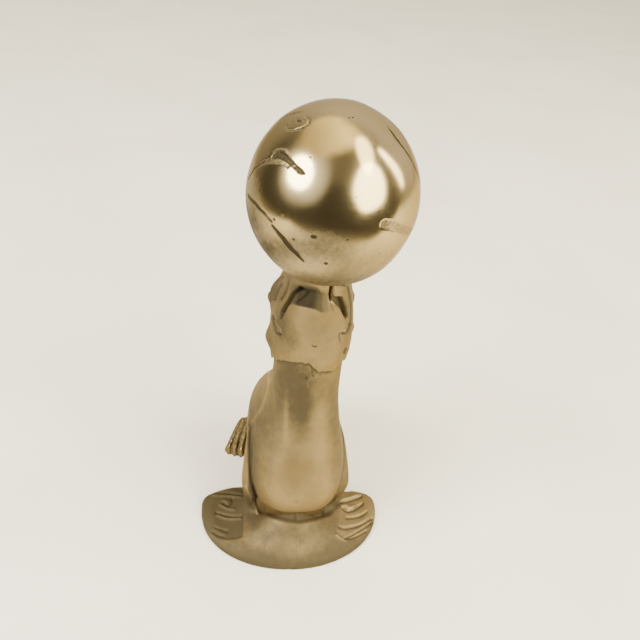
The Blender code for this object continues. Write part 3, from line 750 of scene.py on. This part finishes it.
def distance_to_path(points, path, widths):
    """How far points in space are from a line through points in space, and the line's width there."""
    best = np.full(len(points), 1e9)
    width = np.zeros(len(points))
    for a, b, width_a, width_b in zip(path[:-1], path[1:], widths[:-1], widths[1:]):
        d = b - a
        t = np.clip(((points - a) @ d) / (d @ d), 0, 1)
        gap = np.linalg.norm(points - a - t[:, None] * d, axis=1)
        width = np.where(gap < best, width_a + t * (width_b - width_a), width)
        best = np.minimum(best, gap)
    return best, width


def ball_skin():
    """The ball's points round its own centre: the shell's inside, then its outside from the hole up."""
    rows, columns = BALL_GRID
    hole = math.asin(BALL_HOLE_RADIUS / (BALL_WIDTH / 2))
    inner, outer = np.linspace(math.pi, hole, BALL_INSIDE_ROWS), np.linspace(hole, math.pi, rows)
    angle = np.concatenate([inner, outer])[:, None]
    inset = np.concatenate([np.full(BALL_INSIDE_ROWS, BALL_WALL), np.zeros(rows)])[:, None]
    turn = angles_round(columns)[None, :]
    radius, up = BALL_WIDTH / 2 - inset, BALL_HEIGHT / 2 - inset
    x = radius * np.sin(angle) * np.sin(turn)
    y = -radius * np.sin(angle) * np.cos(turn)
    points = join(x, y, -up * np.cos(angle)).reshape(-1, 3)
    faces = grid_faces(BALL_INSIDE_ROWS + rows, columns, True)
    return points, faces, np.repeat(inset.ravel() == 0, columns)


def ball_marks(points):
    """How far waviness, grooves and pits move the ball's skin, and how dark they leave it."""
    rough = ripple(points, 0.9, 11)
    long_wave, short_wave = BALL_WAVES
    shift = long_wave * ripple(points, 26, 9) + short_wave * ripple(points, 12, 10) - sum(BALL_WAVES)
    tarnish_and_painted_light = np.zeros(len(points))
    for line, depth, dark in BALL_GROOVES:
        gap, width = distance_to_path(points, [on_ball(p[:2]) for p in line], [p[2] for p in line])
        gap = gap + 0.10 * ripple(points, 3.0, 12)
        inside = smooth_step(width + 0.3, width - 0.4, gap)
        bank = np.exp(-(((gap - width) / 0.25) ** 2))
        shift = shift - depth * inside * (1 + 0.12 * rough)
        tarnish_and_painted_light = tarnish_and_painted_light + inside * dark * (0.85 + 0.35 * rough) + 0.2 * dark * bank
    for px, py, size in BALL_PITS:
        gap = np.linalg.norm(points - on_ball((px, py)), axis=1)
        pit = smooth_step(size + 0.15, size * 0.4, gap)
        shift, tarnish_and_painted_light = shift - 0.06 * pit, tarnish_and_painted_light + 1.6 * pit
    return shift, tarnish_and_painted_light


def make_ball():
    points, faces, outside = ball_skin()
    normals = points / BALL_RADII ** 2
    normals /= np.linalg.norm(normals, axis=1, keepdims=True)
    shift, tarnish_and_painted_light = ball_marks(points)
    tarnish_and_painted_light = tarnish_and_painted_light + tarnish_and_light_patches(points + BALL_PLACE, normals, BALL_PATCHES, -0.5, -0.15)
    # Darker towards the bottom: painted shade for the shaded floor the ball mirrors there, together with a
    # duller finish
    tarnish_and_painted_light = tarnish_and_painted_light + 0.22 * smooth_step(4.0, -22.0, points[:, 2])
    points = points + normals * (shift * outside)[:, None]
    return make_mesh("ball_shell", points + BALL_PLACE, faces, {"tarnish_and_painted_light": tarnish_and_painted_light})


def make_stud():
    rows, columns = STUD_GRID
    low, high = MUZZLE_TOP - STUD_BELOW, MUZZLE_TOP + STUD_ABOVE
    z = np.linspace(low, high, rows)[:, None]
    turn = angles_round(columns)[None, :]
    phase = (z / THREAD_PITCH - turn / (2 * math.pi)) % 1.0
    depth = THREAD_DEPTH * smooth_step(0.06, 0.5, np.abs(phase - 0.5))
    from_end = np.minimum(z - low, high - z)
    radius = np.minimum(STUD_RADIUS - depth, STUD_RADIUS - STUD_CHAMFER + from_end)
    radius = np.where(from_end < 0.001, 0.02, radius)
    points = join(radius * np.sin(turn), -MUZZLE_FORWARD - radius * np.cos(turn), z)
    return make_mesh("stud_thread", points.reshape(-1, 3), grid_faces(rows, columns, True))


# Flippers

# Where the flipper's tip is on the outline of apron and flipper, which runs from 0 at the front to 1
TIP_TURN = 0.62
HIND_RIBS = 4.5
# The casting is uneven: how far apron and flippers are turned on the trunk, in radians, and shifted,
# how full the front edge is on each side, how far the rear edge leans back and how proud the arm stands
FLIPPER_TURN = -0.053
FLIPPER_SHIFT = -0.6
FRONT_POWER = {-1: 0.93, 1: 1.0}
REAR_LEAN = {-1: 2.5, 1: 0.4}
ARM_PROUD = {-1: 3.2, 1: 6.0}


def trunk_share(points, depth):
    """How far out points lie, where 1 is a depth under the trunk's skin, with its half width and widest y."""
    half_width, front_y, back_y, widest, squareness = trunk_section(points[:, 2], depth)
    reach = np.where(points[:, 1] < widest, widest - front_y, back_y - widest)
    across = np.abs(points[:, 0]) / half_width
    along = np.abs(points[:, 1] - widest) / reach
    return (across ** squareness + along ** squareness) ** (1 / squareness), half_width, widest


def inside_trunk(points, depth):
    """Brings points that lie deep inside the trunk's skin back to a given depth under it."""
    share, _, widest = trunk_share(points, depth)
    grow = np.where(share < 1.0, 1.0 / np.maximum(share, 0.05), 1.0)
    moved = points.copy()
    moved[:, 0] = points[:, 0] * grow
    moved[:, 1] = widest + (points[:, 1] - widest) * grow
    return moved


def trunk_nearness(points):
    """1 where a point touches the trunk's skin, falling to 0 about 2 mm away from it."""
    share, half_width, _ = trunk_share(points, 0.0)
    return smooth_step(2.2, 0.3, (share - 1.0) * half_width)


def flipper_outline(turn, side):
    """The edge of apron and flipper: turn 0 is the apron's middle, TIP_TURN the tip, 1 the root behind."""
    tip = FLIPPER_SPREAD / 2 - (side < 0) * abs(FLIPPER_SHIFT)
    angle = math.pi / 2 * np.minimum(turn / TIP_TURN, 1.0)
    front_x = tip * np.sin(angle) ** FRONT_POWER[side]
    front_y = -APRON_REACH * np.abs(np.cos(angle)) ** FRONT_POWER[side]
    angle = math.pi / 2 * np.clip((turn - TIP_TURN) / (1 - TIP_TURN), 0.0, 1.0)
    root_x = HIP_WIDTH / 2 - BODY_WALL
    rear_x = root_x + (tip - root_x) * np.abs(np.cos(angle)) ** 0.42
    rear_y = REAR_REACH * np.sin(angle) ** 0.62 + REAR_LEAN[side] * np.sin(angle) ** 12
    return np.where(turn <= TIP_TURN, front_x, rear_x), np.where(turn <= TIP_TURN, front_y, rear_y)


def flipper_top(turn, share):
    """Height of the top: thin at the edge, high where the apron meets the chest, webbed on the flipper."""
    apron = 0.5 + 0.5 * np.cos(math.pi * np.minimum(turn / 0.5, 1.0))
    root = 0.45 * APRON_HEIGHT
    crest = root + (APRON_HEIGHT - root) * apron
    height = EDGE_THICKNESS + (crest - EDGE_THICKNESS) * (1 - (1 - share) ** 1.35)
    rim = np.sin(math.pi * np.minimum(share / 0.3, 1.0)) * 0.35 * WEB_DEPTH
    web = np.sin(math.pi * np.clip((share - 0.2) / 0.6, 0.0, 1.0)) ** 0.6
    return height + (1 - apron) * (rim - WEB_DEPTH * web)


def closed_slab(top, bottom):
    """A closed mesh between two grids that share their edges' rows and columns."""
    rows, columns = top.shape[:2]
    points = np.concatenate([top.reshape(-1, 3), bottom.reshape(-1, 3)])
    face = grid_faces(rows, columns, False)
    count = rows * columns
    index = np.arange(count).reshape(rows, columns)
    rim = np.concatenate([index[0, :], index[1:, -1], index[-1, -2::-1], index[-2:0:-1, 0]])
    after = np.roll(rim, -1)
    walls = np.stack([rim, after, after + count, rim + count], axis=-1)
    return points, np.concatenate([face[:, ::-1], face + count, walls])


def flipper_plate(side):
    """Half of the apron with its flipper, from the edge in to under the chest."""
    rows, columns = PLATE_GRID
    share = np.linspace(0.0, 1.0, rows)[:, None]
    turn = np.linspace(-0.06, 1.0, columns)[None, :]
    share, turn = np.broadcast_arrays(share, turn)
    mirrored, turn = np.sign(turn), np.abs(turn)
    edge_x, edge_y = flipper_outline(turn, side)
    inward = 1 - 0.62 * share
    x, y = mirrored * edge_x * inward, edge_y * inward
    z = flipper_top(turn, share)
    round_over = np.sqrt(np.clip(1 - (1 - np.clip(share / 0.06, 0, 1)) ** 2, 0, 1))
    lip = EDGE_THICKNESS * 0.35
    z = lip + (z - lip) * round_over
    under = np.maximum(z - APRON_WALL, 0.0) * smooth_step(0.12, 0.2, share)
    x, y = side * x - FLIPPER_TURN * y + FLIPPER_SHIFT, y + FLIPPER_TURN * side * x
    return closed_slab(join(x, y, z), join(x, y, np.minimum(under, 0.6 * APRON_HEIGHT)))


def arm_strap(side):
    """The arm on the trunk's flank, which narrows and sinks in towards the flipper."""
    rows, columns = ARM_GRID
    shoulder, foot = 0.50 * NECK_TOP, 0.8 * EDGE_THICKNESS
    down = np.linspace(0.0, 1.0, rows)[:, None]
    z = shoulder + (foot - shoulder) * down
    flank_z, turns = np.broadcast_arrays(z, np.linspace(0, 1, 41)[None, :])
    flank = trunk_point(flank_z, turns, 0.0)[0].max(axis=1)[:, None]
    proud = ARM_PROUD[side] * np.minimum(1.0, 1.6 * down) * (1 - 0.85 * smooth_step(0.62, 0.95, down))
    swell = 0.45 + 0.55 * np.sin(math.pi * np.minimum(0.12 + 0.62 * down, 0.5))
    breadth = ARM_BREADTH * swell * (1 - 0.62 * smooth_step(0.70, 1.0, down))
    front = ARM_BREADTH * (0.25 - 0.6 * np.sin(math.pi / 2 * np.minimum(1.8 * down, 1.0)))
    angle = angles_round(columns)[None, :]
    across = np.sign(np.cos(angle)) * np.abs(np.cos(angle)) ** 0.6
    along = np.sign(np.sin(angle)) * np.abs(np.sin(angle)) ** 0.8
    x = side * (flank - ARM_THICKNESS + (ARM_THICKNESS + proud) * across)
    y = front + breadth / 2 + breadth / 2 * along
    points = join(x, y, z).reshape(-1, 3)
    return points, grid_faces(rows, columns, True)


def flipper_body(side):
    """The plate and the arm fused into one closed skin of small even quads."""
    points, faces = flipper_plate(side)
    plate = make_mesh("plate_part", points, faces, boxed=False)
    points, faces = arm_strap(side)
    arm = make_mesh("arm_part", points, faces, boxed=False)
    data = bmesh.new()
    data.from_mesh(arm.data)
    bmesh.ops.holes_fill(data, edges=[e for e in data.edges if e.is_boundary], sides=0)
    data.from_mesh(plate.data)
    bmesh.ops.recalc_face_normals(data, faces=data.faces)
    data.to_mesh(plate.data)
    data.free()
    bpy.data.objects.remove(arm)
    fuse = plate.modifiers.new("fuse", "REMESH")
    fuse.mode = "VOXEL"
    fuse.voxel_size = FLIPPER_VOXEL
    graph = bpy.context.evaluated_depsgraph_get()
    mesh = bpy.data.meshes.new_from_object(plate.evaluated_get(graph))
    plate.modifiers.clear()
    plate.data = mesh
    points, faces = mesh_arrays(plate)
    bpy.data.objects.remove(plate)
    return points, faces


def soften(points, faces, rounds, keep):
    """Evens out a skin: each point moves towards its neighbours' middle, less where keep is near 1."""
    edges = np.concatenate([faces[:, [0, 1]], faces[:, [1, 2]], faces[:, [2, 3]], faces[:, [3, 0]]])
    count = np.bincount(edges.ravel(), minlength=len(points))
    for _ in range(rounds):
        total = np.zeros_like(points)
        for axis in range(3):
            total[:, axis] = np.bincount(edges[:, 0], points[edges[:, 1], axis], len(points))
            total[:, axis] += np.bincount(edges[:, 1], points[edges[:, 0], axis], len(points))
        middle = total / np.maximum(count, 1)[:, None]
        points = points + (middle - points) * (1 - keep)[:, None]
    return points


def flipper_skin(side):
    """The flipper's skin with softened corners, most of all where the arm's root runs into the plate."""
    points, faces = flipper_body(side)
    points = soften(points, faces, 14, np.full(len(points), 0.25))
    x, y, z = side * points[:, 0], points[:, 1], points[:, 2]
    root = (x > 13) & (x < 32) & (y > -17) & (y < 9) & (z > 2.6) & (z < 17)
    points = soften(points, faces, 90, np.where(root, 0.1, 1.0))
    return inside_trunk(points, ROOT_DEPTH), faces


def flipper_zones(points, normals, side):
    """How much each point lies in the gutter, in the sunk dish and on the outer rim, from 0 to 1."""
    x, y, facing = in_picture(points, normals, 0.05, 0.3)
    gutter = smooth_step(7.5, 1.5, distance_to_line(x, y, GUTTER)) * facing
    outline, _, softness, _ = DISHES[side]
    dish = smooth_step(-softness, softness, inside_outline(x, y, outline)) * facing
    dish = dish * smooth_step(8.5, 6.0, points[:, 2])
    across, along = points[:, 0] / (FLIPPER_SPREAD / 2), np.minimum(points[:, 1], 0.0) / APRON_REACH
    return gutter, dish, smooth_step(0.80, 1.0, np.hypot(across, along))


def make_fore_flipper(side, word):
    points, faces = flipper_skin(side)
    normals = vertex_normals(points, faces)
    shift, tarnish_and_painted_light = carve(points, normals, FLIPPER_LINES[side])
    gutter, dish, rim = flipper_zones(points, normals, side)
    _, depth, _, dark = DISHES[side]
    shift = shift - 1.2 * gutter - depth * dish
    shift = shift + 0.05 * ripple(points, 14, 20) + 0.02 * ripple(points, 4, 22)
    points = points + normals * shift[:, None]
    points[:, 2] = np.maximum(points[:, 2], 0.0)
    points[:, 0] = side * np.maximum(side * points[:, 0], 0.02)
    # Painted shade where the flipper meets the trunk, in the gutter and the dish, and along the outer rim
    # where it turns away; the patches add tarnish with painted shade and painted highlights
    tarnish_and_painted_light = tarnish_and_painted_light + 0.3 * trunk_nearness(points) + 0.30 * gutter + dark * dish + 0.3 * rim * (1 - dish)
    tarnish_and_painted_light = tarnish_and_painted_light + 0.50 + tarnish_and_light_patches(points, normals, FLIPPER_PATCHES)
    item = make_mesh(f"fore_flipper_{word}_casting", points, faces, {"tarnish_and_painted_light": tarnish_and_painted_light})
    item.data.set_sharp_from_angle(angle=math.radians(60))
    return item


def hind_surface():
    """The left hind flipper's top as a grid, with how far out each point is and how high on its rib."""
    rows, columns = HIND_GRID
    root_y, toe_y = 0.965 * RUMP_REACH, 0.89 * RUMP_REACH - HIND_LENGTH
    root_x, toe_x = 0.30 * HIP_WIDTH, 0.385 * HIP_WIDTH
    out = np.linspace(0.0, 1.0, rows)[:, None]
    across = np.linspace(0.0, 1.0, columns)[None, :]
    out, across = np.broadcast_arrays(out, across)
    rib = np.cos(2 * math.pi * HIND_RIBS * across)
    breadth = HIND_BREADTH * (0.62 + 0.38 * out ** 0.55)
    end_round = np.sqrt(np.clip(1 - (2 * across - 1) ** 2, 0, 1))
    reach = out * (0.86 + 0.14 * end_round + 0.02 * rib)
    y = root_y + (toe_y - root_y) * reach + 0.16 * HIND_LENGTH * across * out
    y = y - 0.1 * HIND_LENGTH * across * across * (1 - out)
    x = root_x + (toe_x - root_x) * out + breadth * across
    rise = (ANKLE_HEIGHT - HIND_THICKNESS) * (1 - out) ** 0.9
    rounding = 0.5 + 0.5 * smooth_step(0.0, 0.13, out)
    tip = 0.35 + 0.65 * np.sqrt(smooth_step(0.0, 0.06, 1 - out))
    thickness = ((HIND_THICKNESS + rise) * rounding + 0.60 * rib * smooth_step(0.45, 1.0, out)) * tip
    edge = 0.75 + 0.25 * np.minimum(1.0, 6 * (1 - across))
    side_round = 0.3 + 0.7 * np.sqrt(smooth_step(0.0, 0.05, 1 - across))
    return x, y, thickness * edge * side_round, out, rib


def make_hind_flipper(side, word):
    x, y, z, out, rib = hind_surface()
    points, faces = closed_slab(join(side * x, y, z), join(side * x, y, 0.0))
    normals = vertex_normals(points, faces)
    points = inside_trunk(points, ROOT_DEPTH)
    # Painted shade where the hind flipper meets the trunk, over an even mottled tarnish
    tarnish_and_painted_light = 0.50 + 0.40 * trunk_nearness(points) + 0.25 * ripple(points, 1.3, 52)
    grooves = smooth_step(0.3, -0.8, rib) * smooth_step(0.05, 0.4, out)
    # Painted highlights on the toe tips
    toe_highlight = smooth_step(0.86, 0.94, out) * smooth_step(-0.4, 0.5, rib)
    tarnish_and_painted_light[:out.size] += 0.20 * grooves.ravel() - 0.95 * toe_highlight.ravel()
    if side > 0:
        normals, faces = -normals, faces[:, ::-1]
    points = points + normals * (0.12 * ripple(points, 1.2, 51))[:, None]
    points[:, 2] = np.maximum(points[:, 2], 0.0)
    return make_mesh(f"hind_flipper_{word}_casting", points, faces, {"tarnish_and_painted_light": tarnish_and_painted_light})


# Materials

# DARK_TARNISH_AND_SHADE and POLISHED_DARK_TARNISH_AND_SHADE are the dark of tarnish and of painted shade
# alike; DEEP_PAINTED_SHADE is the deepest painted shade, in the throat's hollow and the darkest creases
BRIGHT_BRASS = (0.250, 0.182, 0.084, 1.0)
WARM_BRASS = (0.213, 0.151, 0.064, 1.0)
DARK_TARNISH_AND_SHADE = (0.070, 0.0535, 0.027, 1.0)
DEEP_PAINTED_SHADE = (0.026, 0.020, 0.010, 1.0)
POLISHED_BRASS = (0.44, 0.34, 0.175, 1.0)
POLISHED_WARM_BRASS = (0.38, 0.285, 0.13, 1.0)
POLISHED_DARK_TARNISH_AND_SHADE = (0.038, 0.029, 0.014, 1.0)
STEEL = (0.52, 0.50, 0.47, 1.0)
STAINED_STEEL = (0.30, 0.25, 0.19, 1.0)
CLOTH = (0.78, 0.75, 0.67, 1.0)
CREAM_CLOTH = (0.74, 0.705, 0.62, 1.0)
# Grimy metal mirrors less at a glancing angle than clean metal
EDGE_TINT = (0.72, 0.63, 0.48, 1.0)
BALL_EDGE_TINT = (0.63, 0.57, 0.49, 1.0)


class Nodes:
    """A short way to write the nodes of a material or a world."""

    def __init__(self, owner, place="Object"):
        self.owner = owner
        owner.use_nodes = True
        self.tree = owner.node_tree
        self.tree.nodes.clear()
        self.place = self.add("ShaderNodeTexCoord").outputs[place]

    def put(self, socket, value):
        """Links a socket to another one, or gives it a plain value."""
        if isinstance(value, bpy.types.NodeSocket):
            self.tree.links.new(value, socket)
        else:
            socket.default_value = value

    def add(self, kind, settings=None, **inputs):
        node = self.tree.nodes.new(kind)
        for key, value in (settings or {}).items():
            setattr(node, key, value)
        for key, value in inputs.items():
            self.put(node.inputs[key.replace("_", " ")], value)
        return node

    def noise(self, scale, detail=4.0, roughness=0.55, stretch=None, turn=(0, 0, 0)):
        place = self.place
        if stretch:
            mapping = self.add("ShaderNodeMapping", Vector=place, Scale=stretch, Rotation=turn)
            place = mapping.outputs["Vector"]
        node = self.add("ShaderNodeTexNoise", Vector=place, Scale=scale, Detail=detail, Roughness=roughness)
        return node.outputs["Fac"]

    def mark(self, name):
        return self.add("ShaderNodeAttribute", {"attribute_name": name}).outputs["Fac"]

    def sum(self, *terms):
        """A weighted sum of sockets, such as (noise, 0.5), and at most one plain number at the end."""
        total = 0.0
        for term in terms:
            factors = (*term, total) if isinstance(term, tuple) else (total, 1.0, term)
            node = self.add("ShaderNodeMath", {"operation": "MULTIPLY_ADD"})
            for socket, value in zip(node.inputs, factors):
                self.put(socket, value)
            total = node.outputs[0]
        return total

    def ramp(self, value, low, high, to_low=0.0, to_high=1.0):
        settings = {"interpolation_type": "SMOOTHSTEP", "clamp": True}
        node = self.add("ShaderNodeMapRange", settings, Value=value, From_Min=low, From_Max=high,
                        To_Min=to_low, To_Max=to_high)
        return node.outputs["Result"]

    def mix(self, share, first, second):
        node = self.add("ShaderNodeMix", {"data_type": "RGBA"})
        for index, value in ((0, share), (6, first), (7, second)):
            self.put(node.inputs[index], value)
        return node.outputs[2]

    def finish(self, color, roughness, metallic, height, strength, distance, gloss=0.5, tint=EDGE_TINT):
        bump = self.add("ShaderNodeBump", Height=height, Strength=strength, Distance=distance)
        shader = self.add("ShaderNodeBsdfPrincipled", Base_Color=color, Roughness=roughness,
                          Metallic=metallic, Specular_IOR_Level=gloss, Specular_Tint=tint,
                          Normal=bump.outputs["Normal"])
        output = self.add("ShaderNodeOutputMaterial")
        self.tree.links.new(shader.outputs[0], output.inputs["Surface"])
        return self.owner


def cast_brass():
    n = Nodes(bpy.data.materials.new("cast_brass_skin"))
    tarnish_and_painted_light = n.mark("tarnish_and_painted_light")
    mottle = n.noise(70.0, 4.0, 0.6)
    cloud = n.noise(260.0, 5.0, 0.62)
    grain = n.noise(1500.0, 4.0, 0.6)
    streak = n.noise(1.0, 3.0, 0.6, (2600.0, 2600.0, 110.0), (0.3, 0.2, 0.0))
    dark = n.ramp(n.sum((tarnish_and_painted_light, 1.0), (cloud, 0.35), (grain, 0.15), -0.24), 0.10, 0.95)
    brass = n.mix(n.ramp(mottle, 0.35, 0.68), BRIGHT_BRASS, WARM_BRASS)
    # The tarnish mark carries painted shade, painted reflection and painted highlights as well as tarnish;
    # past 1 it turns the brass to DEEP_PAINTED_SHADE, the deepest painted shade
    color = n.mix(n.ramp(tarnish_and_painted_light, 1.0, 1.8), n.mix(dark, brass, DARK_TARNISH_AND_SHADE), DEEP_PAINTED_SHADE)
    roughness = n.sum((dark, 0.22), (cloud, 0.16), (streak, 0.08), 0.37)
    height = n.sum((grain, 0.25), (cloud, 0.9), (streak, 0.15))
    return n.finish(color, roughness, n.ramp(dark, 0.1, 1.0, 1.0, 0.75), height, 0.35, 0.0004)


def polished_brass():
    n = Nodes(bpy.data.materials.new("polished_brass_skin"))
    tarnish_and_painted_light = n.mark("tarnish_and_painted_light")
    mottle = n.noise(40.0, 3.0, 0.5)
    speck = n.noise(900.0, 4.0, 0.7)
    pit = n.noise(420.0, 2.0, 0.5)
    wipe = n.noise(1.0, 3.0, 0.6, (150.0, 1500.0, 1500.0), (0.2, 0.5, 0.4))
    dots = n.ramp(pit, 0.72, 0.78)
    dark = n.ramp(n.sum((tarnish_and_painted_light, 1.0), (dots, 0.6), (speck, 0.24), -0.12), 0.08, 0.9)
    brass = n.mix(n.ramp(mottle, 0.35, 0.7), POLISHED_BRASS, POLISHED_WARM_BRASS)
    # The tarnish mark carries painted reflection and painted shade on the ball as well as the grooves' and
    # pits' tarnish
    color = n.mix(dark, brass, POLISHED_DARK_TARNISH_AND_SHADE)
    roughness = n.sum((dark, 0.35), (wipe, 0.08), (mottle, 0.06), 0.10)
    height = n.sum((speck, 0.12), (tarnish_and_painted_light, 0.2), (mottle, 0.5))
    gloss = n.ramp(dark, 0.3, 1.0, 0.5, 0.1)
    metallic = n.ramp(dark, 0.1, 1.0, 1.0, 0.6)
    return n.finish(color, roughness, metallic, height, 0.15, 0.0003, gloss, BALL_EDGE_TINT)


def stud_steel():
    n = Nodes(bpy.data.materials.new("stud_steel_skin"))
    streak = n.noise(1.0, 3.0, 0.6, (300.0, 300.0, 4000.0))
    cloud = n.noise(500.0, 3.0, 0.6)
    color = n.mix(n.ramp(cloud, 0.4, 0.7), STEEL, STAINED_STEEL)
    roughness = n.sum((streak, 0.2), (cloud, 0.15), 0.2)
    return n.finish(color, roughness, 1.0, streak, 0.2, 0.0001)


def pale_cloth():
    n = Nodes(bpy.data.materials.new("pale_floor_skin"))
    soft = n.noise(9.0, 4.0, 0.5)
    weave = n.noise(1400.0, 3.0, 0.6)
    color = n.mix(n.ramp(soft, 0.35, 0.7), CLOTH, CREAM_CLOTH)
    return n.finish(color, n.sum((weave, 0.1), 0.75), 0.0, weave, 0.08, 0.0003)


def dress(item, material):
    item.data.materials.clear()
    item.data.materials.append(material)


# Floor, lights and surroundings

# Where the floor reaches and how far it lies under the seal, in millimetres
FLOOR_X = (-460.0, 3000.0)
FLOOR_Y = (-270.0, 4500.0)
FLOOR_DROP = 0.05

# Name, azimuth, elevation and roll in degrees, metres away from the ball, size in metres, power, colour
LIGHTS = (
    ("window", 40, 25, -20, 1.3, (1.00, 1.22), 46.0, (1.0, 0.97, 0.80)),
    ("window_top", 60, 58, -40, 1.3, (0.44, 1.10), 14.0, (1.0, 0.92, 0.68)),
    ("left_lamp", -68, 32, 40, 1.2, (0.68, 0.72), 38.0, (1.0, 0.98, 0.94)),
    ("right_strip", 90, 26, 0, 1.2, (0.22, 0.95), 8.0, (1.0, 0.93, 0.78)),
)

# The room that the brass mirrors
FRONT_LOW = (0.50, 0.43, 0.35, 1)
FRONT_MIDDLE = (0.13, 0.12, 0.096, 1)
FRONT_HIGH = (0.38, 0.33, 0.25, 1)
LEFT_WALL = (0.75, 0.70, 0.62, 1)
RIGHT_WALL = (1.55, 1.45, 1.30, 1)
LAMP_HALO = (2.6, 2.5, 2.2, 1)
LEFT_CEILING = (1.7, 1.4, 0.78, 1)
RIGHT_CEILING = (4.2, 3.6, 2.0, 1)


def make_floor():
    """A pale cloth that ends not far in front of the seal and to its right, and runs far back."""
    rows, columns = FLOOR_GRID
    x, y = np.meshgrid(np.linspace(*FLOOR_X, columns), np.linspace(*FLOOR_Y, rows))
    points = join(x, y, -FLOOR_DROP).reshape(-1, 3)
    floor = make_mesh("floor", points, grid_faces(rows, columns, False), boxed=False)
    dress(floor, pale_cloth())


def soft_light(name, azimuth, elevation, roll, away, size, power, color):
    data = bpy.data.lights.new(name, "AREA")
    data.shape = "ELLIPSE"
    data.size, data.size_y = size
    data.energy = power
    data.color = color
    light = bpy.data.objects.new(name, data)
    bpy.context.scene.collection.objects.link(light)
    aim = Vector((0.0, -(MUZZLE_FORWARD + MIDDLE_Y) / 1000, BALL_CENTRE / 1000))
    direction = Vector(toward(azimuth, elevation))
    light.location = aim + direction * away
    turned = direction.to_track_quat("Z", "Y") @ Quaternion((0.0, 0.0, 1.0), math.radians(roll))
    light.rotation_euler = turned.to_euler()


def surround():
    """A dim room: dark in front, a warm ceiling above it, paler walls to the right and behind."""
    world = bpy.data.worlds.new("room")
    bpy.context.scene.world = world
    n = Nodes(world, "Generated")
    x, y, z = n.add("ShaderNodeSeparateXYZ", Vector=n.place).outputs
    front = n.mix(n.ramp(z, -0.62, -0.28), FRONT_LOW, FRONT_MIDDLE)
    front = n.mix(n.ramp(z, 0.45, 0.76), front, FRONT_HIGH)
    wall = n.mix(n.ramp(x, -0.6, 0.2), LEFT_WALL, RIGHT_WALL)
    room = n.mix(n.ramp(n.sum((y, 1.0), (x, 0.35)), 0.0, 0.75), front, wall)
    lamp_x, lamp_y, lamp_z = toward(-60, 34)
    halo = n.ramp(n.sum((x, lamp_x), (y, lamp_y), (z, lamp_z)), 0.76, 1.0)
    room = n.mix(halo, room, LAMP_HALO)
    uneven = n.noise(3.0, 2.0, 0.5)
    ceiling = n.ramp(n.sum((z, 0.95), (x, -0.20), (y, 0.14), (uneven, 0.16), -0.08), 0.80, 0.92)
    glow = n.mix(n.ramp(x, -0.55, 0.25), LEFT_CEILING, RIGHT_CEILING)
    background = n.add("ShaderNodeBackground", Color=n.mix(ceiling, room, glow), Strength=1.0)
    output = n.add("ShaderNodeOutputWorld")
    n.tree.links.new(background.outputs[0], output.inputs["Surface"])


def fit(item, material, body, nodes):
    dress(item, material)
    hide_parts(*nodes)
    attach(item, body)


# The whole scene

cast, polished, steel = cast_brass(), polished_brass(), stud_steel()
fit(make_trunk(), cast, "seal", ("body_left_half", "body_right_half"))
fit(make_head(), cast, "seal", ("head",))
for side, word in ((1, "left"), (-1, "right")):
    fit(make_fore_flipper(side, word), cast, "seal", (f"fore_flipper_{word}",))
    fit(make_hind_flipper(side, word), cast, "seal", (f"hind_flipper_{word}",))
fit(make_ball(), polished, "ball", ("ball_lower_half", "ball_upper_half"))
fit(make_stud(), steel, "stud", ("ball_stud",))
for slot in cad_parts["ball_boss"].material_slots:
    slot.material = cast

make_floor()
for light in LIGHTS:
    soft_light(*light)
surround()
place_camera()
